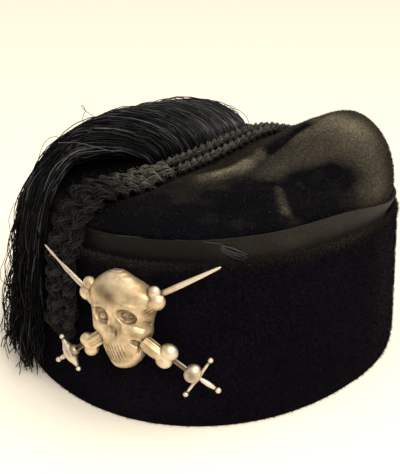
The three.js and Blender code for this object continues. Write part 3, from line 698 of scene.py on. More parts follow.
# The ribbon's joint: frayed threads over the fold, and the sewing thread that runs up to it. Each frayed
# thread has three knots, at pixels, with their shares of the fall in pixels and of the lift in millimetres.
jointLook = dict(seed=51, threads=8, radius=0.17, fall=10, fallStray=1.4, asideStray=2, lift=0.9, tone=0.45,
                 steps=14, sides=5, sewnRadius=0.22, sewnLift=0.1, sewnTone=0.3, sewnSteps=40)
jointKnots = table(
    "pixel fall lift",
    ((221, 244.5), 0.5, 0.1),
    ((234, 247), 0.9, 1.3),
    ((247, 253), 0.6, 0.4),
)
sewnThread = ((100, 236), (120, 236), (150, 238), (180, 240), (204, 242), (222, 244))
rng = np.random.default_rng(jointLook["seed"])
ribbonTree = treeOf(ribbon)
frayed = []
for thread in range(jointLook["threads"]):
    share = thread / (jointLook["threads"] - 1)
    places = []
    for knot in jointKnots:
        aside, down = knot["pixel"]
        down += jointLook["fall"] * share * knot["fall"] + rng.uniform(-1, 1) * jointLook["fallStray"]
        aside += rng.uniform(-1, 1) * jointLook["asideStray"]
        spot, outward = onSurface(ribbonTree, (aside, down))
        places.append(spot + outward * jointLook["lift"] * knot["lift"])
    knots = np.array(places)
    at = np.linspace(0, 2, jointLook["steps"])
    route = np.stack([np.interp(at, (0, 1, 2), knots[:, axis]) for axis in range(3)], axis=1)
    frayed.append(soften(route, 4))
frayed = np.array(frayed)
sewn = [onSurface(ribbonTree, pixel) for pixel in sewnThread]
sewn = np.array([spot + outward * jointLook["sewnLift"] for spot, outward in sewn if spot is not None])
sewn = resample(sewn, jointLook["sewnSteps"])[0][None]
upright = np.array([0, 0, 1.0])
frayPoints, frayFaces = tubes(frayed, jointLook["radius"], jointLook["sides"], upright)
sewPoints, sewFaces = tubes(sewn, jointLook["sewnRadius"], jointLook["sides"], upright)
joint = meshPiece("ribbonJoint", np.concatenate([frayPoints, sewPoints]),
                  frayFaces + [[index + len(frayPoints) for index in face] for face in sewFaces])
setTone(joint.data, np.repeat((jointLook["tone"], jointLook["sewnTone"]), (len(frayPoints), len(sewPoints))))
finishPiece(joint, rayon, "ribbed_ribbon")
print("ribbon made:", ribs, "ribs")


# A point of the cap's oval at a height, out from the wall by a distance
rim = dict(halfWidth=90, halfLength=100, power=2.2, taper=0.0007)


def ovalPoint(angle, out, z):
    angle = np.asarray(angle, float) * degree
    shrink = 1 - rim["taper"] * z
    side = np.abs(np.sin(angle)) / (rim["halfWidth"] * shrink + out)
    front = np.abs(np.cos(angle)) / (rim["halfLength"] * shrink + out)
    radius = (side ** rim["power"] + front ** rim["power"]) ** (-1 / rim["power"])
    height = np.broadcast_to(z, radius.shape)
    return np.stack([radius * np.sin(angle), -radius * np.cos(angle), height], axis=-1)


nodeTree = treeOf(nodes["crown"])
overCap = 200  # a height that is well above the whole cap


def crownTop(x, y):
    place, _, _, _ = nodeTree.ray_cast(Vector((x, y, overCap)), Vector((0, 0, -1)))
    return place.z if place else 0.0


# Loose fibres that stand off the yarns, each a thin tube of four steps. Out and ahead are the places of
# its steps, as shares of its length.
fuzzLook = dict(radius=0.11, sides=3, scatter=0.8, bend=0.2, shortest=0.3, tone=1.3, clearEnds=3,
                out=(0, 0.3, 0.45, 0.5), ahead=(0, 0.35, 0.7, 1))


def fuzzAlong(name, routes, centre, tones, look, rng):
    count = look["fuzz"]
    thread = rng.integers(0, len(routes), count)
    step = rng.integers(fuzzLook["clearEnds"], look["steps"] - fuzzLook["clearEnds"], count)
    start = routes[thread, step]
    outward = unit(start - centre[step] + rng.normal(0, fuzzLook["scatter"], start.shape))
    onward = unit(routes[thread, step + 2] - start) * rng.choice((-1, 1), count)[:, None]
    length = look["fuzzLength"] * rng.uniform(fuzzLook["shortest"], 1, count)[:, None]
    hairs = np.stack([start + length * (out * outward + ahead * onward)
                      for out, ahead in zip(fuzzLook["out"], fuzzLook["ahead"])], axis=1)
    hairs[:, -1] += length * fuzzLook["bend"] * rng.normal(0, 1, start.shape)
    aside = unit(rng.normal(0, 1, start.shape))[:, None]
    points, faces = tubes(hairs, fuzzLook["radius"], fuzzLook["sides"], aside)
    piece = meshPiece(name, points, faces)
    ringPoints = len(fuzzLook["out"]) * fuzzLook["sides"]
    setTone(piece.data, np.repeat(np.clip(tones[thread, step] * fuzzLook["tone"], 0, 1), ringPoints))
    finishPiece(piece, yarn, "black_cord")


# Strands plaited flat along a route, each of several twisted yarns. TaperAt and taper thin the two ends,
# lumps are how uneven a strand is, and the shown values set a painted grey highlight where a yarn lies on top
# and faces out, with painted shade where it does not.
plaitShape = dict(taperAt=(0, 0.015, 0.975, 1), taper=(0.7, 1, 1, 0.55), lumps=7, lumpSize=0.12, even=(3, 6),
                  shownBase=-0.5, shownOver=1.1, shownFacing=0.5, yarnTones=(0.3, 1.5))


def plaitAlong(name, route, look, node):
    rng = np.random.default_rng(look["seed"])
    centre, length = resample(route, look["steps"])
    centre = soften(centre, plaitShape["even"][0])
    along = unit(np.gradient(centre, axis=0))
    sideways = np.broadcast_to(np.array([1.0, 0, 0]), centre.shape)
    upwards = unit(np.cross(along, sideways))
    upwards *= np.sign(upwards[len(upwards) // 3, 2]) or 1
    at = np.linspace(0, 1, look["steps"])
    thick = np.interp(at, look["thickAt"], look["thick"])
    wide = np.interp(at, look["wideAt"], look["wide"])
    taper = np.interp(at, plaitShape["taperAt"], plaitShape["taper"])
    strands = look["strands"]
    routes, hearts, tones = [], [], []
    for strand in range(strands):
        turn = 2 * math.pi * (at * length / look["period"] + strand / strands)
        over = np.sin((strands - 1) * turn)
        middle = centre + sideways * (wide * look["swing"] * taper * np.sin(turn))[:, None]
        middle = middle + upwards * (thick * look["weave"] * over)[:, None]
        for thread in range(look["yarns"]):
            twist = 2 * math.pi * (thread / look["yarns"] + at * length / look["twist"]) + strand
            reach = 1 + plaitShape["lumpSize"] * np.sin(plaitShape["lumps"] * twist + thread)
            aside = wide * look["strandWide"] * taper * np.cos(twist) * reach
            lift = thick * look["strandThick"] * taper * np.sin(twist) * reach
            wander = soften(rng.normal(0, look["wander"], (look["steps"], 3)), plaitShape["even"][1])
            routes.append(middle + sideways * aside[:, None] + upwards * lift[:, None] + wander)
            hearts.append(middle)
            # Painted light along the plait: bright where it starts, painted shade where it hangs down
            lit = look["toneStart"] + (look["toneEnd"] - look["toneStart"]) * smooth(at / look["toneFade"])
            facing = 0.5 + 0.5 * np.sin(twist)
            shown = plaitShape["shownBase"] + plaitShape["shownOver"] * (0.5 + 0.5 * over)
            shown = np.clip(shown + plaitShape["shownFacing"] * facing, 0, 1)
            flecks = rng.uniform(1 - look["flecks"], 1 + look["flecks"], look["steps"])
            tones.append(np.clip(lit * shown * flecks * rng.uniform(*plaitShape["yarnTones"]), 0, 1))
    routes = np.array(routes)
    points, faces = tubes(routes, look["yarnRadius"], look["sides"], sideways)
    piece = meshPiece(name, points, faces)
    # Painted shade on the side of each yarn that faces into its strand
    around = unit(points.reshape(len(routes), look["steps"], look["sides"], 3) - routes[:, :, None])
    outer = np.sum(around * unit(routes - np.array(hearts))[:, :, None], axis=3)
    lit = np.array(tones)[:, :, None] * (1 + look["creviceShade"] * (outer - 0.5))
    setTone(piece.data, np.clip(lit, 0, 1).ravel())
    finishPiece(piece, yarn, "black_cord", node)
    fuzzAlong(name + "Fuzz", routes, centre, np.array(tones), look, rng)
    print(name, "made:", len(routes), "yarns,", round(length), "mm long")


# ToneStart, toneEnd and toneFade set the painted light along the plait, and creviceShade the painted shade
# inside its strands
plaitLook = dict(seed=21, strands=5, steps=190, wideAt=(0, 0.1, 0.2, 1), wide=(6.3, 9.0, 11.4, 11.4),
                 thickAt=(0, 0.35, 0.6, 1), thick=(3.3, 3.3, 1.9, 1.8), period=40, swing=0.72, weave=0.4,
                 yarns=14, twist=24, strandWide=0.23, strandThick=0.48, yarnRadius=0.44, sides=4, wander=0.8,
                 toneStart=2.0, toneEnd=0.08, toneFade=0.36, creviceShade=1.1, flecks=0.6, fuzz=700,
                 fuzzLength=3.2)
cordLook = dict(seed=22, strands=3, steps=160, wideAt=(0, 1), wide=(2.9, 2.9), thickAt=(0, 1),
                thick=(2.9, 2.9), period=13, swing=0.5, weave=0.36, yarns=8, twist=9, strandWide=0.34,
                strandThick=0.4, yarnRadius=0.4, sides=4, wander=0.35, toneStart=0.9, toneEnd=0.82,
                toneFade=1, creviceShade=1.2, flecks=0.7, fuzz=380, fuzzLength=1.6)
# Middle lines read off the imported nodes: the plait's in slices that turn about a centre under its bend,
# given as Y and Z, and a cord's in rings one after the other along Y
plaitSlices = dict(centre=(-52, 48), start=109, end=-19, count=46)
cordRings = 7.5


def middles(groups):
    return np.array([(group.max(axis=0) + group.min(axis=0)) / 2 for group in groups if len(group)])


def plaitRoute(node):
    points = toCap(coordsOf(nodes[node].data))
    centreY, centreZ = plaitSlices["centre"]
    start, end, count = (plaitSlices[key] for key in ("start", "end", "count"))
    turns = np.degrees(np.arctan2(points[:, 2] - centreZ, -(points[:, 1] - centreY)))
    return middles([points[np.abs(turns - turn) < abs(end - start) / count]
                    for turn in np.linspace(start, end, count)])


def cordRoute(node):
    points = toCap(coordsOf(nodes[node].data))
    rings = np.round(points[:, 1] / cordRings)
    return middles([points[rings == ring] for ring in sorted(set(rings))])


plaitAlong("softPlait", plaitRoute("plait"), plaitLook, "plait")
for name, node in (("cordNear", "cord_near"), ("cordFar", "cord_far")):
    plaitAlong(name, cordRoute(node), dict(cordLook, seed=cordLook["seed"] + len(name)), node)


# Fringe: threads sewn along the far cord, thrown over the crown's right side and cut ragged. Rise, arch
# and hang are the steps of a thread in each stretch, climb and shoulder how round its rise is, and endWaves
# how far the cut edge goes up and down, in millimetres.
fringeLook = dict(seed=31, threads=1500, loose=200, strays=18, radius=0.26, strayRadius=0.15,
                  looseness=2.6, strayLooseness=4, rise=5, arch=13, hang=10, climb=1.35, shoulder=0.85,
                  rootX=-6.7, rootLift=2.4, hangHeight=62, halfThick=2.0, strayMost=5, clumps=54,
                  endLow=4.5, endHigh=21, endWaves=4, endLeast=3, floorGap=1.0, drift=0.02,
                  gatherTop=0.12, gatherEnd=0.5, thickAt=(0, 0.15, 0.7, 1), thick=(0.55, 1, 1, 1.3))
# RootY is where the threads are sewn, fall is the angle round the cap where they hang, top and topAt are
# the height and place of their arch, off and spread how far they stand from the wall.
fringeSections = table(
    "at rootY fall top topAt roundness off spread",
    (0, -38, -7, 106.5, 0.42, 2.0, 3.6, 2.5),
    (0.2, -28, -22, 111.5, 0.50, 1.85, 3.3, 3),
    (0.4, -16, -40, 113.8, 0.58, 1.75, 3.1, 3),
    (0.6, -2, -58, 113.4, 0.64, 1.9, 3.1, 3),
    (0.8, 13, -76, 113.2, 0.68, 2.05, 3.6, 3),
    (1, 28, -95, 112.6, 0.72, 2.1, 4, 3),
)
fringeWaves = table("waves size", (1.6, 0.8), (4.4, 0.5))  # along a thread, and in millimetres
# Threads shine or are dull, at random in these limits, and each glints in waves along its length: painted
# highlights. The front half is a little darker, the back paler, and all of them fade on the way down to
# fadeEnd, a painted shade.
threadTones = dict(shining=0.3, shine=(0.3, 0.8), dull=(0, 0.14), front=0.75, back=0.26, backFrom=0.45,
                   backOver=0.35, glints=4.5, glint=0.6, glintMiddle=1.05, low=0.5, fadeEnd=50, fadeOver=35)
fineAt = np.linspace(0, 1, 201)
fringeColumns = {key: np.array([between(fringeSections, "at", at, key) for at in fineAt])
                 for key in fringeSections[0] if key != "at"}
rootHeights = np.array([crownTop(fringeLook["rootX"], y) for y in fringeColumns["rootY"]])


# Points of threads from root to end: at is the place along the fringe for each thread and step
def fringeGuide(at, end):
    rise, arch, hang = fringeLook["rise"], fringeLook["arch"], fringeLook["hang"]
    low = fringeLook["hangHeight"]
    rows = []
    for step in range(rise + arch + hang + 1):
        here = np.clip(at[:, step], 0, 1)
        value = {key: np.interp(here, fineAt, column) for key, column in fringeColumns.items()}
        rootZ = np.interp(here, fineAt, rootHeights) + fringeLook["rootLift"]
        root = np.stack([np.full(len(here), fringeLook["rootX"]), value["rootY"], rootZ], axis=1)
        edge = ovalPoint(value["fall"], value["off"], low)
        if step <= rise:
            share = step / rise
            point = root + (edge - root) * (share ** fringeLook["climb"] * (1 - value["topAt"]))[:, None]
            lifted = math.sin(share * math.pi / 2) ** fringeLook["shoulder"]
            point[:, 2] = rootZ + (value["top"] - rootZ) * lifted
        elif step <= rise + arch:
            turn = math.pi / 2 * (1 - (step - rise) / arch)
            power = 2 / value["roundness"]
            point = edge + (root - edge) * (value["topAt"] * (1 - max(math.cos(turn), 0) ** power))[:, None]
            point[:, 2] = low + (value["top"] - low) * math.sin(turn) ** power
        else:
            z = low + (end - low) * (step - rise - arch) / hang
            point = ovalPoint(value["fall"], value["off"] + value["spread"] * (1 - z / low), z)
        rows.append(point)
    return np.stack(rows, axis=1)


def fringeThreads(name, at, rng, radius, loose):
    count = len(at)
    steps = fringeLook["rise"] + fringeLook["arch"] + fringeLook["hang"] + 1
    along = np.linspace(0, 1, steps)[None, :]

    def wave(waves):
        return np.sin(2 * math.pi * (waves * along + rng.uniform(0, 1, (count, 1))))

    clumpAt = np.sort(rng.uniform(0, 1, fringeLook["clumps"]))
    nearest = clumpAt[np.abs(clumpAt[None, :] - at[:, None]).argmin(axis=1)]
    gather = fringeLook["gatherTop"] * smooth((along - 0.15) / 0.4)
    gather = gather + fringeLook["gatherEnd"] * smooth((along - 0.6) / 0.4)
    drift = rng.normal(0, fringeLook["drift"] * loose, (count, 1)) * smooth(along * 1.5)
    drift = drift + fringeLook["drift"] * wave(1.3) * smooth(along * 3)
    path = at[:, None] + (nearest - at)[:, None] * gather + drift
    end = fringeLook["endLow"] + (fringeLook["endHigh"] - fringeLook["endLow"]) * rng.beta(1.2, 2.2, count)
    end += fringeLook["endWaves"] * np.sin(at * 60) * rng.uniform(0, 1, count)
    end = np.maximum(end, fringeLook["endLeast"])
    middle = fringeGuide(path, end)
    ahead = fringeGuide(path + 0.01, end)
    behind = fringeGuide(path - 0.01, end)
    sideways = unit(ahead - behind)
    outward = unit(np.cross(sideways, np.gradient(middle, axis=1)))
    depth = rng.uniform(-1, 1, (count, 1)) * fringeLook["halfThick"]
    depth = depth * np.interp(along, fringeLook["thickAt"], fringeLook["thick"])
    if loose > 1:
        stray = np.minimum(rng.gamma(1.6, 1.5, (count, 1)), fringeLook["strayMost"])
        depth = depth + stray * smooth((along - 0.35) / 0.6)
    sway = np.zeros((count, steps))
    bob = np.zeros((count, steps))
    grow = (0.8 + 1.3 * smooth((along - 0.5) / 0.5)) * loose * smooth(along / 0.08)
    for row in fringeWaves:
        sway += row["size"] * grow * wave(row["waves"])
        bob += row["size"] * grow * wave(row["waves"])
    routes = middle + outward * (depth + bob * 0.8)[:, :, None] + sideways * sway[:, :, None]
    routes[:, :, 2] = np.maximum(routes[:, :, 2], fringeLook["floorGap"])
    points, faces = tubes(routes, radius, 3, sideways)
    piece = meshPiece(name, points, faces)
    look = threadTones
    lit = rng.uniform(0, 1, count) < look["shining"]
    tone = np.where(lit, rng.uniform(*look["shine"], count), rng.uniform(*look["dull"], count))
    tone = tone * (look["front"] + (1 - look["front"]) * smooth(at / 0.5))
    tone += look["back"] * smooth((at - look["backFrom"]) / look["backOver"])
    glint = look["glintMiddle"] + look["glint"] * wave(look["glints"])
    bright = smooth((routes[:, :, 2] - look["fadeEnd"]) / look["fadeOver"])
    shade = (look["low"] + (1 - look["low"]) * bright) * glint
    setTone(piece.data, np.repeat(np.clip(tone[:, None] * shade, 0, 1).ravel(), 3))
    finishPiece(piece, rayon, "black_thread", "fringe")


fringeRng = np.random.default_rng(fringeLook["seed"])
fringeAt = np.sort(fringeRng.uniform(0.003, 0.997, fringeLook["threads"]))
half = fringeLook["threads"] // 2
fringeThreads("fringeFront", fringeAt[:half], fringeRng, fringeLook["radius"], 1)
fringeThreads("fringeSide", fringeAt[half:], fringeRng, fringeLook["radius"], 1)
looseAt = fringeRng.beta(0.8, 1.0, fringeLook["loose"])
fringeThreads("fringeLoose", looseAt, fringeRng, fringeLook["radius"], fringeLook["looseness"])
strayAt = fringeRng.uniform(0, 1, fringeLook["strays"])
fringeThreads("fringeStrays", strayAt, fringeRng, fringeLook["strayRadius"], fringeLook["strayLooseness"])

# Threads that stand clear of the rest in the photograph, along its pixels, as far from the eye as a
# place beside the fringe: the angle round the cap, how far out and how high. The pale thread has no such
# place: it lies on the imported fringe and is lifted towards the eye.
clearLook = dict(radius=0.17, steps=40, sides=3, floorGap=1)
clearThreads = table(
    "name place tone lift pixels",
    ("loop over the arch", (-40, -14, 104), 0.2, 0, ((97, 120), (92, 115), (85, 111), (84.5, 107),
     (82, 104), (81, 107), (84, 109), (86, 111), (83.5, 114), (82.5, 119), (84, 124))),
    ("arc beside the arch", (-40, -6, 98), 0.2, 0, ((63, 141), (56, 136), (49, 138), (44, 143), (41, 150),
     (38, 160), (39, 168))),
    ("pale thread", None, 1, 5, ((60, 144), (80, 144), (100, 149), (115, 153), (130, 161))),
    ("first curl", (-112, -57, 113), 0.1, 0, ((202, 101.5), (206, 99.5), (210, 100.5), (213, 103.5))),
    ("second curl", (-125, -60, 113), 0.1, 0, ((215, 103.5), (219, 101.5), (223, 103), (226, 107))),
    ("third curl", (-140, -63, 112), 0.1, 0, ((226, 106), (231, 105.5), (236, 109), (239, 114))),
    ("fourth curl", (-166, -70, 108), 0.1, 0, ((230, 108), (238, 109.5), (244, 114), (248, 119.5),
     (249, 125))),
    ("outer thread", (-43, 8, 40), 0.1, 0, ((18, 214), (16, 241), (13, 254), (7, 266), (2.5, 290),
     (1.5, 301), (4, 313), (6, 326), (1.5, 341))),
    ("second thread", (-43, 8, 40), 0.1, 0, ((17, 225), (15, 251), (8.6, 267), (5, 283), (3, 297),
     (6.5, 318), (8.5, 332))),
    ("third thread", (-43, 8, 40), 0.1, 0, ((18, 230), (15.5, 258), (11.5, 273), (6.5, 293), (5.5, 304),
     (3, 318), (1.5, 333))),
    ("fourth thread", (-43, 8, 40), 0.1, 0, ((17, 236), (14, 262), (9.5, 285), (9, 305), (12, 322),
     (6, 345))),
)
fringeTree = treeOf(nodes["fringe"])
clearRoutes = []
for thread in clearThreads:
    ways = np.array([photoRay(*pixel) for pixel in thread["pixels"]])
    if thread["place"]:
        angle, out, z = thread["place"]
        reach = (ovalPoint(angle, out, z) - eye) @ -back / (ways @ -back)
        knots = eye + ways * reach[:, None]
    else:
        spots = [onSurface(fringeTree, pixel)[0] for pixel in thread["pixels"]]
        knots = np.array([spot for spot in spots if spot is not None]) + back * thread["lift"]
    knots[:, 2] = np.maximum(knots[:, 2], clearLook["floorGap"])
    clearRoutes.append(soften(resample(knots, clearLook["steps"])[0], 3))
clearPoints, clearFaces = tubes(np.array(clearRoutes), clearLook["radius"], clearLook["sides"], back)
clearPiece = meshPiece("fringeClear", clearPoints, clearFaces)
clearTones = [thread["tone"] for thread in clearThreads]
setTone(clearPiece.data, np.repeat(clearTones, clearLook["steps"] * clearLook["sides"]))
finishPiece(clearPiece, rayon, "black_thread", "fringe")
print("fringe made:", fringeLook["threads"], "threads")


# Badge: modelled flat, across (u), up (v) and out (w), then bent round the wall
badgePlace = dict(centre=(41.3, -92.6, 50), facing=24, tilt=6, bend=145, turn=4.5)


def bendBadge(points):
    facing, tilt, turn = (badgePlace[key] * degree for key in ("facing", "tilt", "turn"))
    front = np.array([math.sin(facing), -math.cos(facing), 0])
    side = np.array([math.cos(facing), math.sin(facing), 0])
    up = np.array([0, 0, 1.0])
    out = front * math.cos(tilt) + up * math.sin(tilt)
    rise = up * math.cos(tilt) - front * math.sin(tilt)
    u = points[:, 0] * math.cos(turn) - points[:, 1] * math.sin(turn)
    v = points[:, 0] * math.sin(turn) + points[:, 1] * math.cos(turn)
    bend = badgePlace["bend"]
    reach = bend + points[:, 2]
    return (np.array(badgePlace["centre"]) + side * (reach * np.sin(u / bend))[:, None] + rise * v[:, None]
            + out * (reach * np.cos(u / bend) - bend)[:, None])


# A rod turned from a circle that is pushed out and resized step by step, then laid in the badge's plane.
# Its profile is how far along and how thick, and a pointed end still keeps the thinnest radius.
thinnest = 0.02


def turnedRod(name, profile, sides, turn, centre, flatness=1.0, carve=None):
    selectOnly()
    profile = [(at, max(radius, thinnest)) for at, radius in profile]
    start, radius = profile[0]
    bpy.ops.mesh.primitive_circle_add(vertices=sides, radius=radius, fill_type="NGON", location=(0, 0, start))
    rod = bpy.context.object
    rod.name = name
    bpy.ops.object.transform_apply(location=True, rotation=False, scale=False)
    bpy.ops.object.mode_set(mode="EDIT")
    bpy.ops.mesh.select_all(action="SELECT")
    for (lastAt, lastRadius), (at, radius) in zip(profile, profile[1:]):
        ratio = radius / lastRadius
        bpy.ops.mesh.extrude_region_move(TRANSFORM_OT_translate={"value": (0, 0, at - lastAt)})
        bpy.ops.transform.resize(value=(ratio, ratio, 1), center_override=(0, 0, at))
    bpy.ops.mesh.select_all(action="SELECT")
    bpy.ops.mesh.normals_make_consistent(inside=False)
    bpy.ops.object.mode_set(mode="OBJECT")
    points = coordsOf(rod.data)
    if carve:
        points = carve(points)
    angle = turn * degree
    flat = np.stack([centre[0] + points[:, 2] * math.cos(angle) - points[:, 0] * math.sin(angle),
                     centre[1] + points[:, 2] * math.sin(angle) + points[:, 0] * math.cos(angle),
                     centre[2] + points[:, 1] * flatness], axis=1)
    rod.data.vertices.foreach_set("co", flat.ravel())
    rod.data.shade_smooth()
    return rod


# A ball laid in the badge's plane: along and across its turn, and out
def flatBall(name, place, turn, size, segments=28):
    bpy.ops.mesh.primitive_uv_sphere_add(segments=segments, ring_count=segments // 2, radius=1)
    ball = bpy.context.object
    ball.name = name
    ball.scale = size
    ball.rotation_euler = (0, 0, turn * degree)
    ball.location = place
    bpy.ops.object.transform_apply(location=True, rotation=True, scale=True)
    ball.data.shade_smooth()
    return ball


# Lengthwise grooves round a bone, and the flat hollow down a blade
def groovedBone(points):
    angle = np.arctan2(points[:, 1], points[:, 0])
    share = smooth((boneLook["grooveEnd"] - np.abs(points[:, 2])) / boneLook["grooveFade"])
    scale = 1 - boneLook["grooveDepth"] * share * (0.5 + 0.5 * np.cos(boneLook["grooves"] * angle))
    return points * np.stack([scale, scale, np.ones_like(scale)], axis=1)


def hollowBlade(points, groove, swerve):
    blade = smooth((points[:, 2] - swordLook["guardAt"] - swordLook["bladeFrom"]) / swordLook["bladeFade"])
    hollow = groove * np.exp(-(points[:, 0] / swordLook["grooveWide"]) ** 2)
    points[:, 1] *= 1 - blade * (swordLook["thinned"] + hollow)
    past = smooth((points[:, 2] - swordLook["swerveFrom"]) / swordLook["swerveFade"])
    points[:, 0] += past * (points[:, 2] - swordLook["swerveAbout"]) * math.tan(swerve * degree)
    return points


# Places along a rapier are from the badge's middle, but bladeFrom and pommelOut are from the guard.
# Heights are out from the badge's plane.
swordLook = dict(guardAt=-36.5, bladeFrom=3.5, bladeFade=1.5, thinned=0.3, grooveWide=0.35, swerveFrom=16,
                 swerveFade=3, swerveAbout=36, height=0.3, flatness=0.75, bladeSides=28, gripSides=20,
                 pommelOut=12.0, pommel=(1.3, 1.25, 1.3), barHeight=0.6, barSides=24, barReach=9.6,
                 barEnd=(1.15, 1.15, 1.15), cupHeight=0.2, cupSides=36)
heelProfile = [(-39.2, 0), (-39.0, 0.7), (-38, 1.0), (-37, 1.1), (-34, 1.15), (-12, 1.2), (12, 1.2)]
neckedProfile = heelProfile + [(26, 1.3), (35, 1.1), (37.5, 0.65), (41, 0.5), (44, 0.7), (49, 0.4), (50, 0)]
evenProfile = heelProfile + [(22, 1.35), (32, 1.25), (42, 0.9), (49, 0.5), (50, 0)]
gripProfile = [(-47.6, 0), (-47.4, 0.6), (-46.6, 0.75), (-45, 1.05), (-43.2, 1.15), (-41.4, 1.05),
               (-39.8, 0.75), (-38.6, 0.6), (-38.4, 0)]
barProfile = [(-9.6, 0), (-9.4, 0.55), (-7, 0.6), (-3.5, 0.7), (-1.5, 1.0), (0, 1.25), (1.5, 1.0), (3.5, 0.7),
              (7, 0.6), (9.4, 0.55), (9.6, 0)]
shellProfile = [(-9.6, 0), (-9.4, 0.7), (-7, 0.95), (-5.4, 1.5), (-3.4, 2.3), (-1.2, 2.7), (1.2, 2.7),
                (3.4, 2.3), (5.4, 1.5), (7, 0.95), (9.4, 0.7), (9.6, 0)]
boneProfile = [(-20.4, 0), (-20.0, 2.8), (-16, 3.3), (-12, 3.3), (-10, 3.3), (-8.5, 1.2), (8.5, 1.2),
               (10, 3.3), (12, 3.3), (16, 3.3), (20.0, 2.8), (20.4, 0)]
# The two hilts, cast apart: slide is how far in towards the skull each sits, size its bar and grip
# against the profiles, and cup the shell's size along the blade, across it and out. Swerve is how
# many degrees the blade's far end turns from the straight, past the bone.
hilts = table(
    "turn slide size blade groove swerve bar barBehind cupSlide cup",
    (146, 0, 1, neckedProfile, 0.7, 0, barProfile, 2.1, 0.5, (3.7, 4.3, 3.3)),
    (34, 2.6, 0.82, evenProfile, 0.15, -7, shellProfile, 0.6, 2.4, (1.9, 2.3, 2.4)),
)
boneLook = dict(height=2.4, turns=(144, 36), slides=(-1.5, -1.4), middle=(0.6, 0.2), sides=72, flatness=0.9,
                grooves=8, grooveDepth=0.19, grooveEnd=17.5, grooveFade=2, knobLong=1.12, knobOut=0.88,
                fineness=0.33, evenings=3)
knobs = table(
    "u v radius turn",
    (20.8, -10.3, 3.5, 144), (18.4, -14.2, 3.3, 144), (15.3, 15.1, 2.6, 36), (16.4, 10.9, 3.4, 36),
    (-13.7, 15.6, 2.9, 144), (-15.6, 11.2, 3.1, 144), (-17.0, -9.9, 3.0, 36), (-14.8, -13.8, 3.1, 36),
)


# A place in the badge: along a turned line, across it and out of the plane
def turnedPlace(turn, along, aside, out):
    c, s = math.cos(turn * degree), math.sin(turn * degree)
    return (c * along - s * aside, s * along + c * aside, out)


badgeParts = []
for hilt in hilts:
    look, turn, size = swordLook, hilt["turn"], hilt["size"]
    guardAt = look["guardAt"] + hilt["slide"]
    barAt = guardAt - hilt["barBehind"]
    grip = [(guardAt + (at - look["guardAt"]) * size, radius) for at, radius in gripProfile]
    bar = [(at * size, radius) for at, radius in hilt["bar"]]
    badgeParts += [
        turnedRod("blade", hilt["blade"], look["bladeSides"], turn, (0, 0, look["height"]), look["flatness"],
                  lambda points: hollowBlade(points, hilt["groove"], hilt["swerve"])),
        turnedRod("grip", grip, look["gripSides"], turn, (0, 0, look["height"])),
        flatBall("pommel", turnedPlace(turn, guardAt - look["pommelOut"] * size, 0, look["height"]), turn,
                 look["pommel"]),
        turnedRod("bar", bar, look["barSides"], turn + 90, turnedPlace(turn, barAt, 0, look["barHeight"])),
    ]
    for end in (-look["barReach"], look["barReach"]):
        place = turnedPlace(turn, barAt, end * size, look["barHeight"])
        badgeParts.append(flatBall("barEnd", place, turn, look["barEnd"]))
    place = turnedPlace(turn, guardAt + hilt["cupSlide"], 0, look["cupHeight"])
    badgeParts.append(flatBall("cup", place, turn, hilt["cup"], look["cupSides"]))

bonePieces = []
middleU, middleV = boneLook["middle"]
for turn, slide in zip(boneLook["turns"], boneLook["slides"]):
    u, v, out = turnedPlace(turn, slide, 0, boneLook["height"])
    bonePieces.append(turnedRod("bone", boneProfile, boneLook["sides"], turn, (u + middleU, v + middleV, out),
                                boneLook["flatness"], groovedBone))
for knob in knobs:
    size = knob["radius"] * np.array([boneLook["knobLong"], 1, boneLook["knobOut"]])
    bonePieces.append(flatBall("knob", (knob["u"], knob["v"], boneLook["height"]), knob["turn"], size))
selectOnly(*bonePieces)
bpy.ops.object.join()
bones = bpy.context.object
bones.data.remesh_voxel_size = boneLook["fineness"]
bpy.ops.object.voxel_remesh()
even = bones.modifiers.new("even", "SMOOTH")
even.iterations = boneLook["evenings"]
bpy.ops.object.modifier_apply(modifier=even.name)
bones.data.shade_smooth()
badgeParts.append(bones)
print("bones and rapiers made")

# Skull in level sections from the chin up: how far it reaches to either side, where its relief is
# highest, and how deep it is
skullSections = table(
    "v left right ridge depth",
    (-19.6, 1.6, 3.6, 1.0, 4.8), (-18.6, 3.8, 5.4, 0.8, 6.8), (-16.8, 5.8, 7.2, 0.6, 8.0),
    (-14.4, 7.4, 8.8, 0.6, 8.5), (-11.5, 8.8, 10.0, 0.6, 8.7), (-8.5, 10.0, 11.2, 0.4, 8.7),
    (-5.5, 12.0, 12.4, -0.2, 8.7), (-3, 13.4, 13.2, -0.8, 8.9), (0, 13.9, 13.4, -1.4, 9.0),
    (4, 14.0, 14.4, -1.6, 9.3), (8, 14.0, 15.6, -1.4, 10.0), (12, 14.0, 15.6, -1.2, 10.4),
    (15, 13.4, 13.8, -1.2, 10.0), (17.8, 11.4, 9.8, -1.3, 8.6), (20, 8.8, 5.4, -1.8, 6.8),
    (21.4, 6.2, 2.4, -2.0, 4.8), (22.1, 4.2, 0.4, -2.0, 3.4),
)
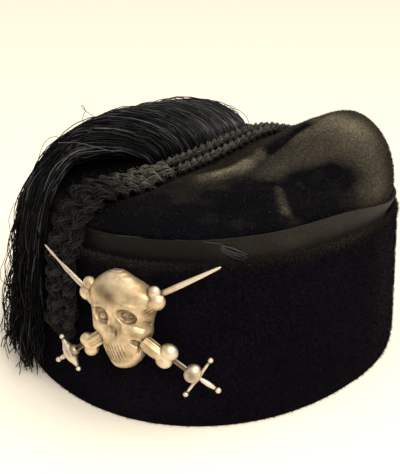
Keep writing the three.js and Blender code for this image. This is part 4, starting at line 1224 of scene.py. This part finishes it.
# Hollows (depth above 0) and swellings (below 0) of the face, as ovals turned by an angle; edge is how
# crisp they are, lip how far their border stands up and stain how dark they have gone
skullFeatures = table(
    "name u v wide tall turn depth edge lip stain",
    ("left socket", -6.1, 4.2, 3.8, 3.7, 0, 2.4, 4, 0.35, 0.5),
    ("left eyeball", -6.3, 3.1, 2.7, 1.8, 0, -2.0, 1.2, 0, -0.4),
    ("right socket", 4.8, 4.9, 4.0, 3.0, -20, 2.4, 4, 0.4, 0.75),
    ("right bump", 3.2, 4.8, 1.4, 1.2, 0, -1.1, 1.2, 0, -0.2),
    ("right bump outside", 6.1, 4.3, 1.3, 1.0, 0, -0.8, 1.2, 0, 0),
    ("right bump below", 4.4, 3.0, 1.3, 0.8, 0, -0.8, 1.2, 0, 0),
    ("left brow", -8.4, 8.7, 3.8, 1.1, 14, -0.9, 1, 0, 0),
    ("right brow", 6.0, 9.6, 5.0, 1.2, -10, -1.0, 1, 0, 0),
    ("between the brows", -2.4, 8.2, 2.0, 1.8, 0, -0.4, 1, 0, 0),
    ("nose ridge", -2.3, 2.6, 1.1, 4.6, 4, -1.9, 1, 0, 0),
    ("nose right flank", 0.9, 0.2, 1.4, 3.4, 14, 1.0, 1.2, 0, 0.3),
    ("nose left flank", -4.6, -0.4, 1.2, 3.0, -6, 0.8, 1.2, 0, 0.1),
    ("nose opening", -1.2, -1.9, 1.4, 2.9, 12, 1.1, 1.4, 0, 0.45),
    ("left nostril", -1.7, -1.6, 0.5, 2.0, -6, 0.4, 1, 0, 0.1),
    ("right nostril", -0.5, -2.9, 0.8, 1.2, 0, 0.4, 1, 0, 0.3),
    ("right cheekbone", 8.2, -2.2, 4.0, 1.7, -20, -0.9, 1, 0, 0.15),
    ("cheekbone end", 11.4, -2.8, 1.7, 2.0, -10, -0.9, 1, 0, 0.1),
    ("groove over the cheek", 8.6, 0.6, 3.6, 0.5, -20, 0.5, 1, 0, 0.2),
    ("under the cheekbone", 7.8, -6.9, 2.3, 1.3, -30, 1.8, 2, 0.2, 0.6),
    ("slot behind the jaw", 8.6, -9.6, 0.55, 2.2, -18, 1.0, 2, 0.1, 0.5),
    ("left cheekbone", -11.2, -2.2, 2.4, 2.2, 20, -0.9, 1, 0, 0),
    ("under the left cheek", -9.6, -7.4, 2.0, 2.6, 20, 1.3, 1, 0, 0.3),
    ("temple", 13.0, 5.6, 1.8, 2.6, 6, 0.7, 2, 0.3, 0.3),
    ("temple bump", 10.4, 6.4, 0.8, 1.7, -20, -0.7, 1, 0, 0),
    ("temple low", 12.4, 1.8, 1.5, 1.5, 0, 0.9, 1.5, 0.3, 0.2),
    ("jaws", -1.4, -9.6, 6.0, 5.0, 8, -0.9, 1.2, 0, 0),
    ("chin", 0.4, -17.2, 4.8, 2.1, 8, -1.3, 1, 0, 0),
    ("under the teeth", -0.6, -15.2, 5.0, 0.7, 6, 0.5, 1, 0, 0.2),
    ("jaw bone", 8.2, -12.6, 1.5, 3.6, -28, -0.8, 1, 0, 0),
)
# Stains on the forehead, the side of the skull and the jaw
skullStains = table(
    "u v spread amount",
    (-5.8, 14.6, 3.4, 0.7), (-1.4, 12.8, 2.8, 0.95), (7.2, 13.4, 3.2, 0.4), (13.6, 7, 2.8, 0.6),
    (13.2, 1, 3.0, 0.8), (-5.4, -14.4, 2.4, 0.5), (11.5, 16, 2.6, 0.7), (13.0, -5, 2.6, 0.6),
    (-1, 0, 7, 0.27), (0.5, -14, 7.5, 0.22),
)
# Edge is the skull's thickness at its border and roundness how full it is there. The teeth stand from
# teethLeft to teethRight and from teethLow to teethHigh, on levels that slope with the mouth.
skullLook = dict(rows=170, columns=140, back=-2.2, edge=0.9, roundness=0.64, lipAt=1.22, lipWide=0.16,
                 toothPitch=1.35, toothDepth=0.8, toothSlant=0.3, teethLeft=-8.4, teethRight=4.6,
                 teethLow=-15.2, teethHigh=-7.0, mouthSlope=0.1, mouthAt=-11.2, mouthWide=0.35,
                 mouthDepth=0.2)


# How far a point lies from the middle of a turned oval, 1 on its border
def ovalShare(spot, u, v):
    c, s = math.cos(spot["turn"] * degree), math.sin(spot["turn"] * degree)
    across = (u - spot["u"]) * c + (v - spot["v"]) * s
    upward = (v - spot["v"]) * c - (u - spot["u"]) * s
    return np.sqrt((across / spot["wide"]) ** 2 + (upward / spot["tall"]) ** 2)


def makeSkull():
    look, rows, columns = skullLook, skullLook["rows"], skullLook["columns"]
    share = (1 - np.cos(np.linspace(0.06, 1, rows) * math.pi)) / 2
    lowest, highest = skullSections[0]["v"], skullSections[-1]["v"]
    vs = lowest + (highest - lowest) * (share - share[0]) / (share[-1] - share[0])
    left, right, ridge, depth = (np.array([between(skullSections, "v", v, key) for v in vs])[:, None]
                                 for key in ("left", "right", "ridge", "depth"))
    arc = np.linspace(0, math.pi, columns)[None, :]
    u = ridge + np.cos(arc) * np.where(np.cos(arc) > 0, right - ridge, left + ridge)
    v = np.broadcast_to(vs[:, None], u.shape)
    w = look["back"] + look["edge"] + (depth - look["edge"]) * np.sin(arc) ** look["roundness"]
    for spot in skullFeatures:
        away = ovalShare(spot, u, v)
        w = w - np.exp(-away ** (2 * spot["edge"]) * 1.1) * spot["depth"] * np.sin(arc) ** 0.5
        w = w + np.exp(-((away - look["lipAt"]) / look["lipWide"]) ** 2) * spot["lip"]
    level = v - look["mouthSlope"] * u
    teeth = smooth((u - look["teethLeft"]) / 1.2) * smooth((look["teethRight"] - u) / 1.6)
    teeth = teeth * smooth((level - look["teethLow"]) / 0.8) * smooth((look["teethHigh"] - level) / 1.6)
    slant = u + look["toothSlant"] * (level + 11)
    grooves = 1 - np.abs(np.sin(math.pi * slant / look["toothPitch"])) ** 0.5
    mouth = np.exp(-((level - look["mouthAt"]) / look["mouthWide"]) ** 2)
    w = w - (grooves * look["toothDepth"] + mouth * look["mouthDepth"]) * teeth
    backW = np.full_like(left, look["back"])
    bands = [np.stack([u, v, w], axis=-1)]
    for place in (-0.85, 0, 0.85):
        edge = ridge + place * np.where(place > 0, right - ridge, left + ridge)
        bands.append(np.stack([edge, vs[:, None], backW], axis=-1))
    grid = np.concatenate(bands, axis=1)
    count = grid.shape[1]
    here = np.arange(rows - 1)[:, None] * count + np.arange(count)[None, :]
    after = np.arange(rows - 1)[:, None] * count + (np.arange(count)[None, :] + 1) % count
    faces = np.stack([here, after, after + count, here + count], axis=-1).reshape(-1, 4).tolist()
    faces += [list(range(count))[::-1], list((rows - 1) * count + np.arange(count))]
    skull = meshPiece("skull", grid.reshape(-1, 3), faces, np.asarray)
    selectOnly(skull)
    bpy.ops.object.mode_set(mode="EDIT")
    bpy.ops.mesh.select_all(action="SELECT")
    bpy.ops.mesh.normals_make_consistent(inside=False)
    bpy.ops.object.mode_set(mode="OBJECT")
    return skull


# How shut in each point is, from short rays: grime and tarnish gather there
grimeLook = dict(seed=41, rays=10, reach=2.6, upright=1.05, lift=0.05)


def hollowsOf(piece):
    normals = coordsOf(piece.data, "vertices", "normal")
    starts = coordsOf(piece.data) + normals * grimeLook["lift"]
    tree = treeOf(piece, np.asarray)
    shut = np.zeros(len(starts))
    for spoke in unit(np.random.default_rng(grimeLook["seed"]).normal(0, 1, (grimeLook["rays"], 3))):
        ways = unit(normals * grimeLook["upright"] + spoke)
        for index, (start, way) in enumerate(zip(starts.tolist(), ways.tolist())):
            if tree.ray_cast(start, way, grimeLook["reach"])[0] is not None:
                shut[index] += 1
    return shut / grimeLook["rays"]


skull = makeSkull()
selectOnly(skull, *badgeParts)
bpy.ops.object.join()
badge = bpy.context.object
badge.name = "skullBadge"
badge.data.name = "skullBadge"
flatBadge = coordsOf(badge.data)
setTone(badge.data, hollowsOf(badge), "hollow")
# Stains lie on the front, above a height out from the badge's plane, and the cups are stained too. The
# hilts and blades are paler, from paleFrom outwards.
toneLook = dict(skullFront=1.5, cupFront=1.0, cupStain=0.8, cupSpread=2.6, pale=0.75, paleFrom=21, paleOver=4)


def stainRound(u, v, spread, front):
    away = np.hypot(flatBadge[:, 0] - u, flatBadge[:, 1] - v)
    return np.exp(-(away / spread) ** 2) * (flatBadge[:, 2] > front)


stained = np.zeros(len(flatBadge))
for stain in skullStains:
    stained += stain["amount"] * stainRound(stain["u"], stain["v"], stain["spread"], toneLook["skullFront"])
for hilt in hilts:
    cupAt = swordLook["guardAt"] + hilt["slide"] + hilt["cupSlide"]
    u, v, _ = turnedPlace(hilt["turn"], cupAt, 0, 0)
    stained += toneLook["cupStain"] * stainRound(u, v, toneLook["cupSpread"], toneLook["cupFront"])
for spot in skullFeatures:
    away = ovalShare(spot, flatBadge[:, 0], flatBadge[:, 1])
    stained += spot["stain"] * np.exp(-away ** 6) * (flatBadge[:, 2] > 0)
setTone(badge.data, np.clip(stained, 0, 1), "stain")
fromMiddle = np.hypot(flatBadge[:, 0], flatBadge[:, 1])
outer = smooth((fromMiddle - toneLook["paleFrom"]) / toneLook["paleOver"])
setTone(badge.data, toneLook["pale"] * outer, "pale")
moveTo(badge.data, bendBadge(coordsOf(badge.data)))
finishPiece(badge, silver, "aged_silver", "badge")
pin = nodes["badge_pin"]
pin.data.materials.clear()
pin.data.materials.append(pinSteel)
print("badge made:", len(badge.data.polygons), "faces")


# Floor, light and colour. Sizes are in metres, and the sun's spread is in degrees.
studio = dict(floorSize=30, sky="#fffaf0", skyLow=0.58, skyHigh=0.88, highFrom=0.7, aim=(0, 0, 0.06),
              sunPower=1.5, sunSpread=50, sunPlace=(0.3, 0.4, 1.1), sunColour="#fff4e0",
              keyPower=9.0, keySize=0.45, keyPlace=(0.75, -0.35, 0.75), keyColour="#fff6ea")
bpy.ops.mesh.primitive_plane_add(size=studio["floorSize"], location=(0, 0, 0))
floor = bpy.context.object
floor.name = "floor"
floor.data.materials.append(paper)

world = bpy.data.worlds.new("studioSky")
bpy.context.scene.world = world
world.use_nodes = True
skyNode = world.node_tree.nodes["Background"]
skyNode.inputs["Color"].default_value = hexColour(studio["sky"])
skyWay = addNode(world, "TexCoord", output="Generated")
skyUp = addNode(world, "SeparateXYZ", {0: skyWay}, "Z")
skyLight = addNode(world, "MapRange", {"Value": skyUp, "From Min": 0.0, "From Max": studio["highFrom"],
                                       "To Min": studio["skyLow"], "To Max": studio["skyHigh"]})
world.node_tree.links.new(skyLight, skyNode.inputs["Strength"])


def softLight(name, kind, which):
    data = bpy.data.lights.new(name, kind)
    data.energy = studio[which + "Power"]
    data.color = hexColour(studio[which + "Colour"])[:3]
    light = addObject(name, data)
    light.location = studio[which + "Place"]
    light.rotation_euler = (Vector(studio["aim"]) - light.location).to_track_quat("-Z", "Y").to_euler()
    return data


softLight("topLight", "SUN", "sun").angle = studio["sunSpread"] * degree
softLight("keyLight", "AREA", "key").size = studio["keySize"]
bpy.context.scene.view_settings.view_transform = "Standard"
print("studio made")
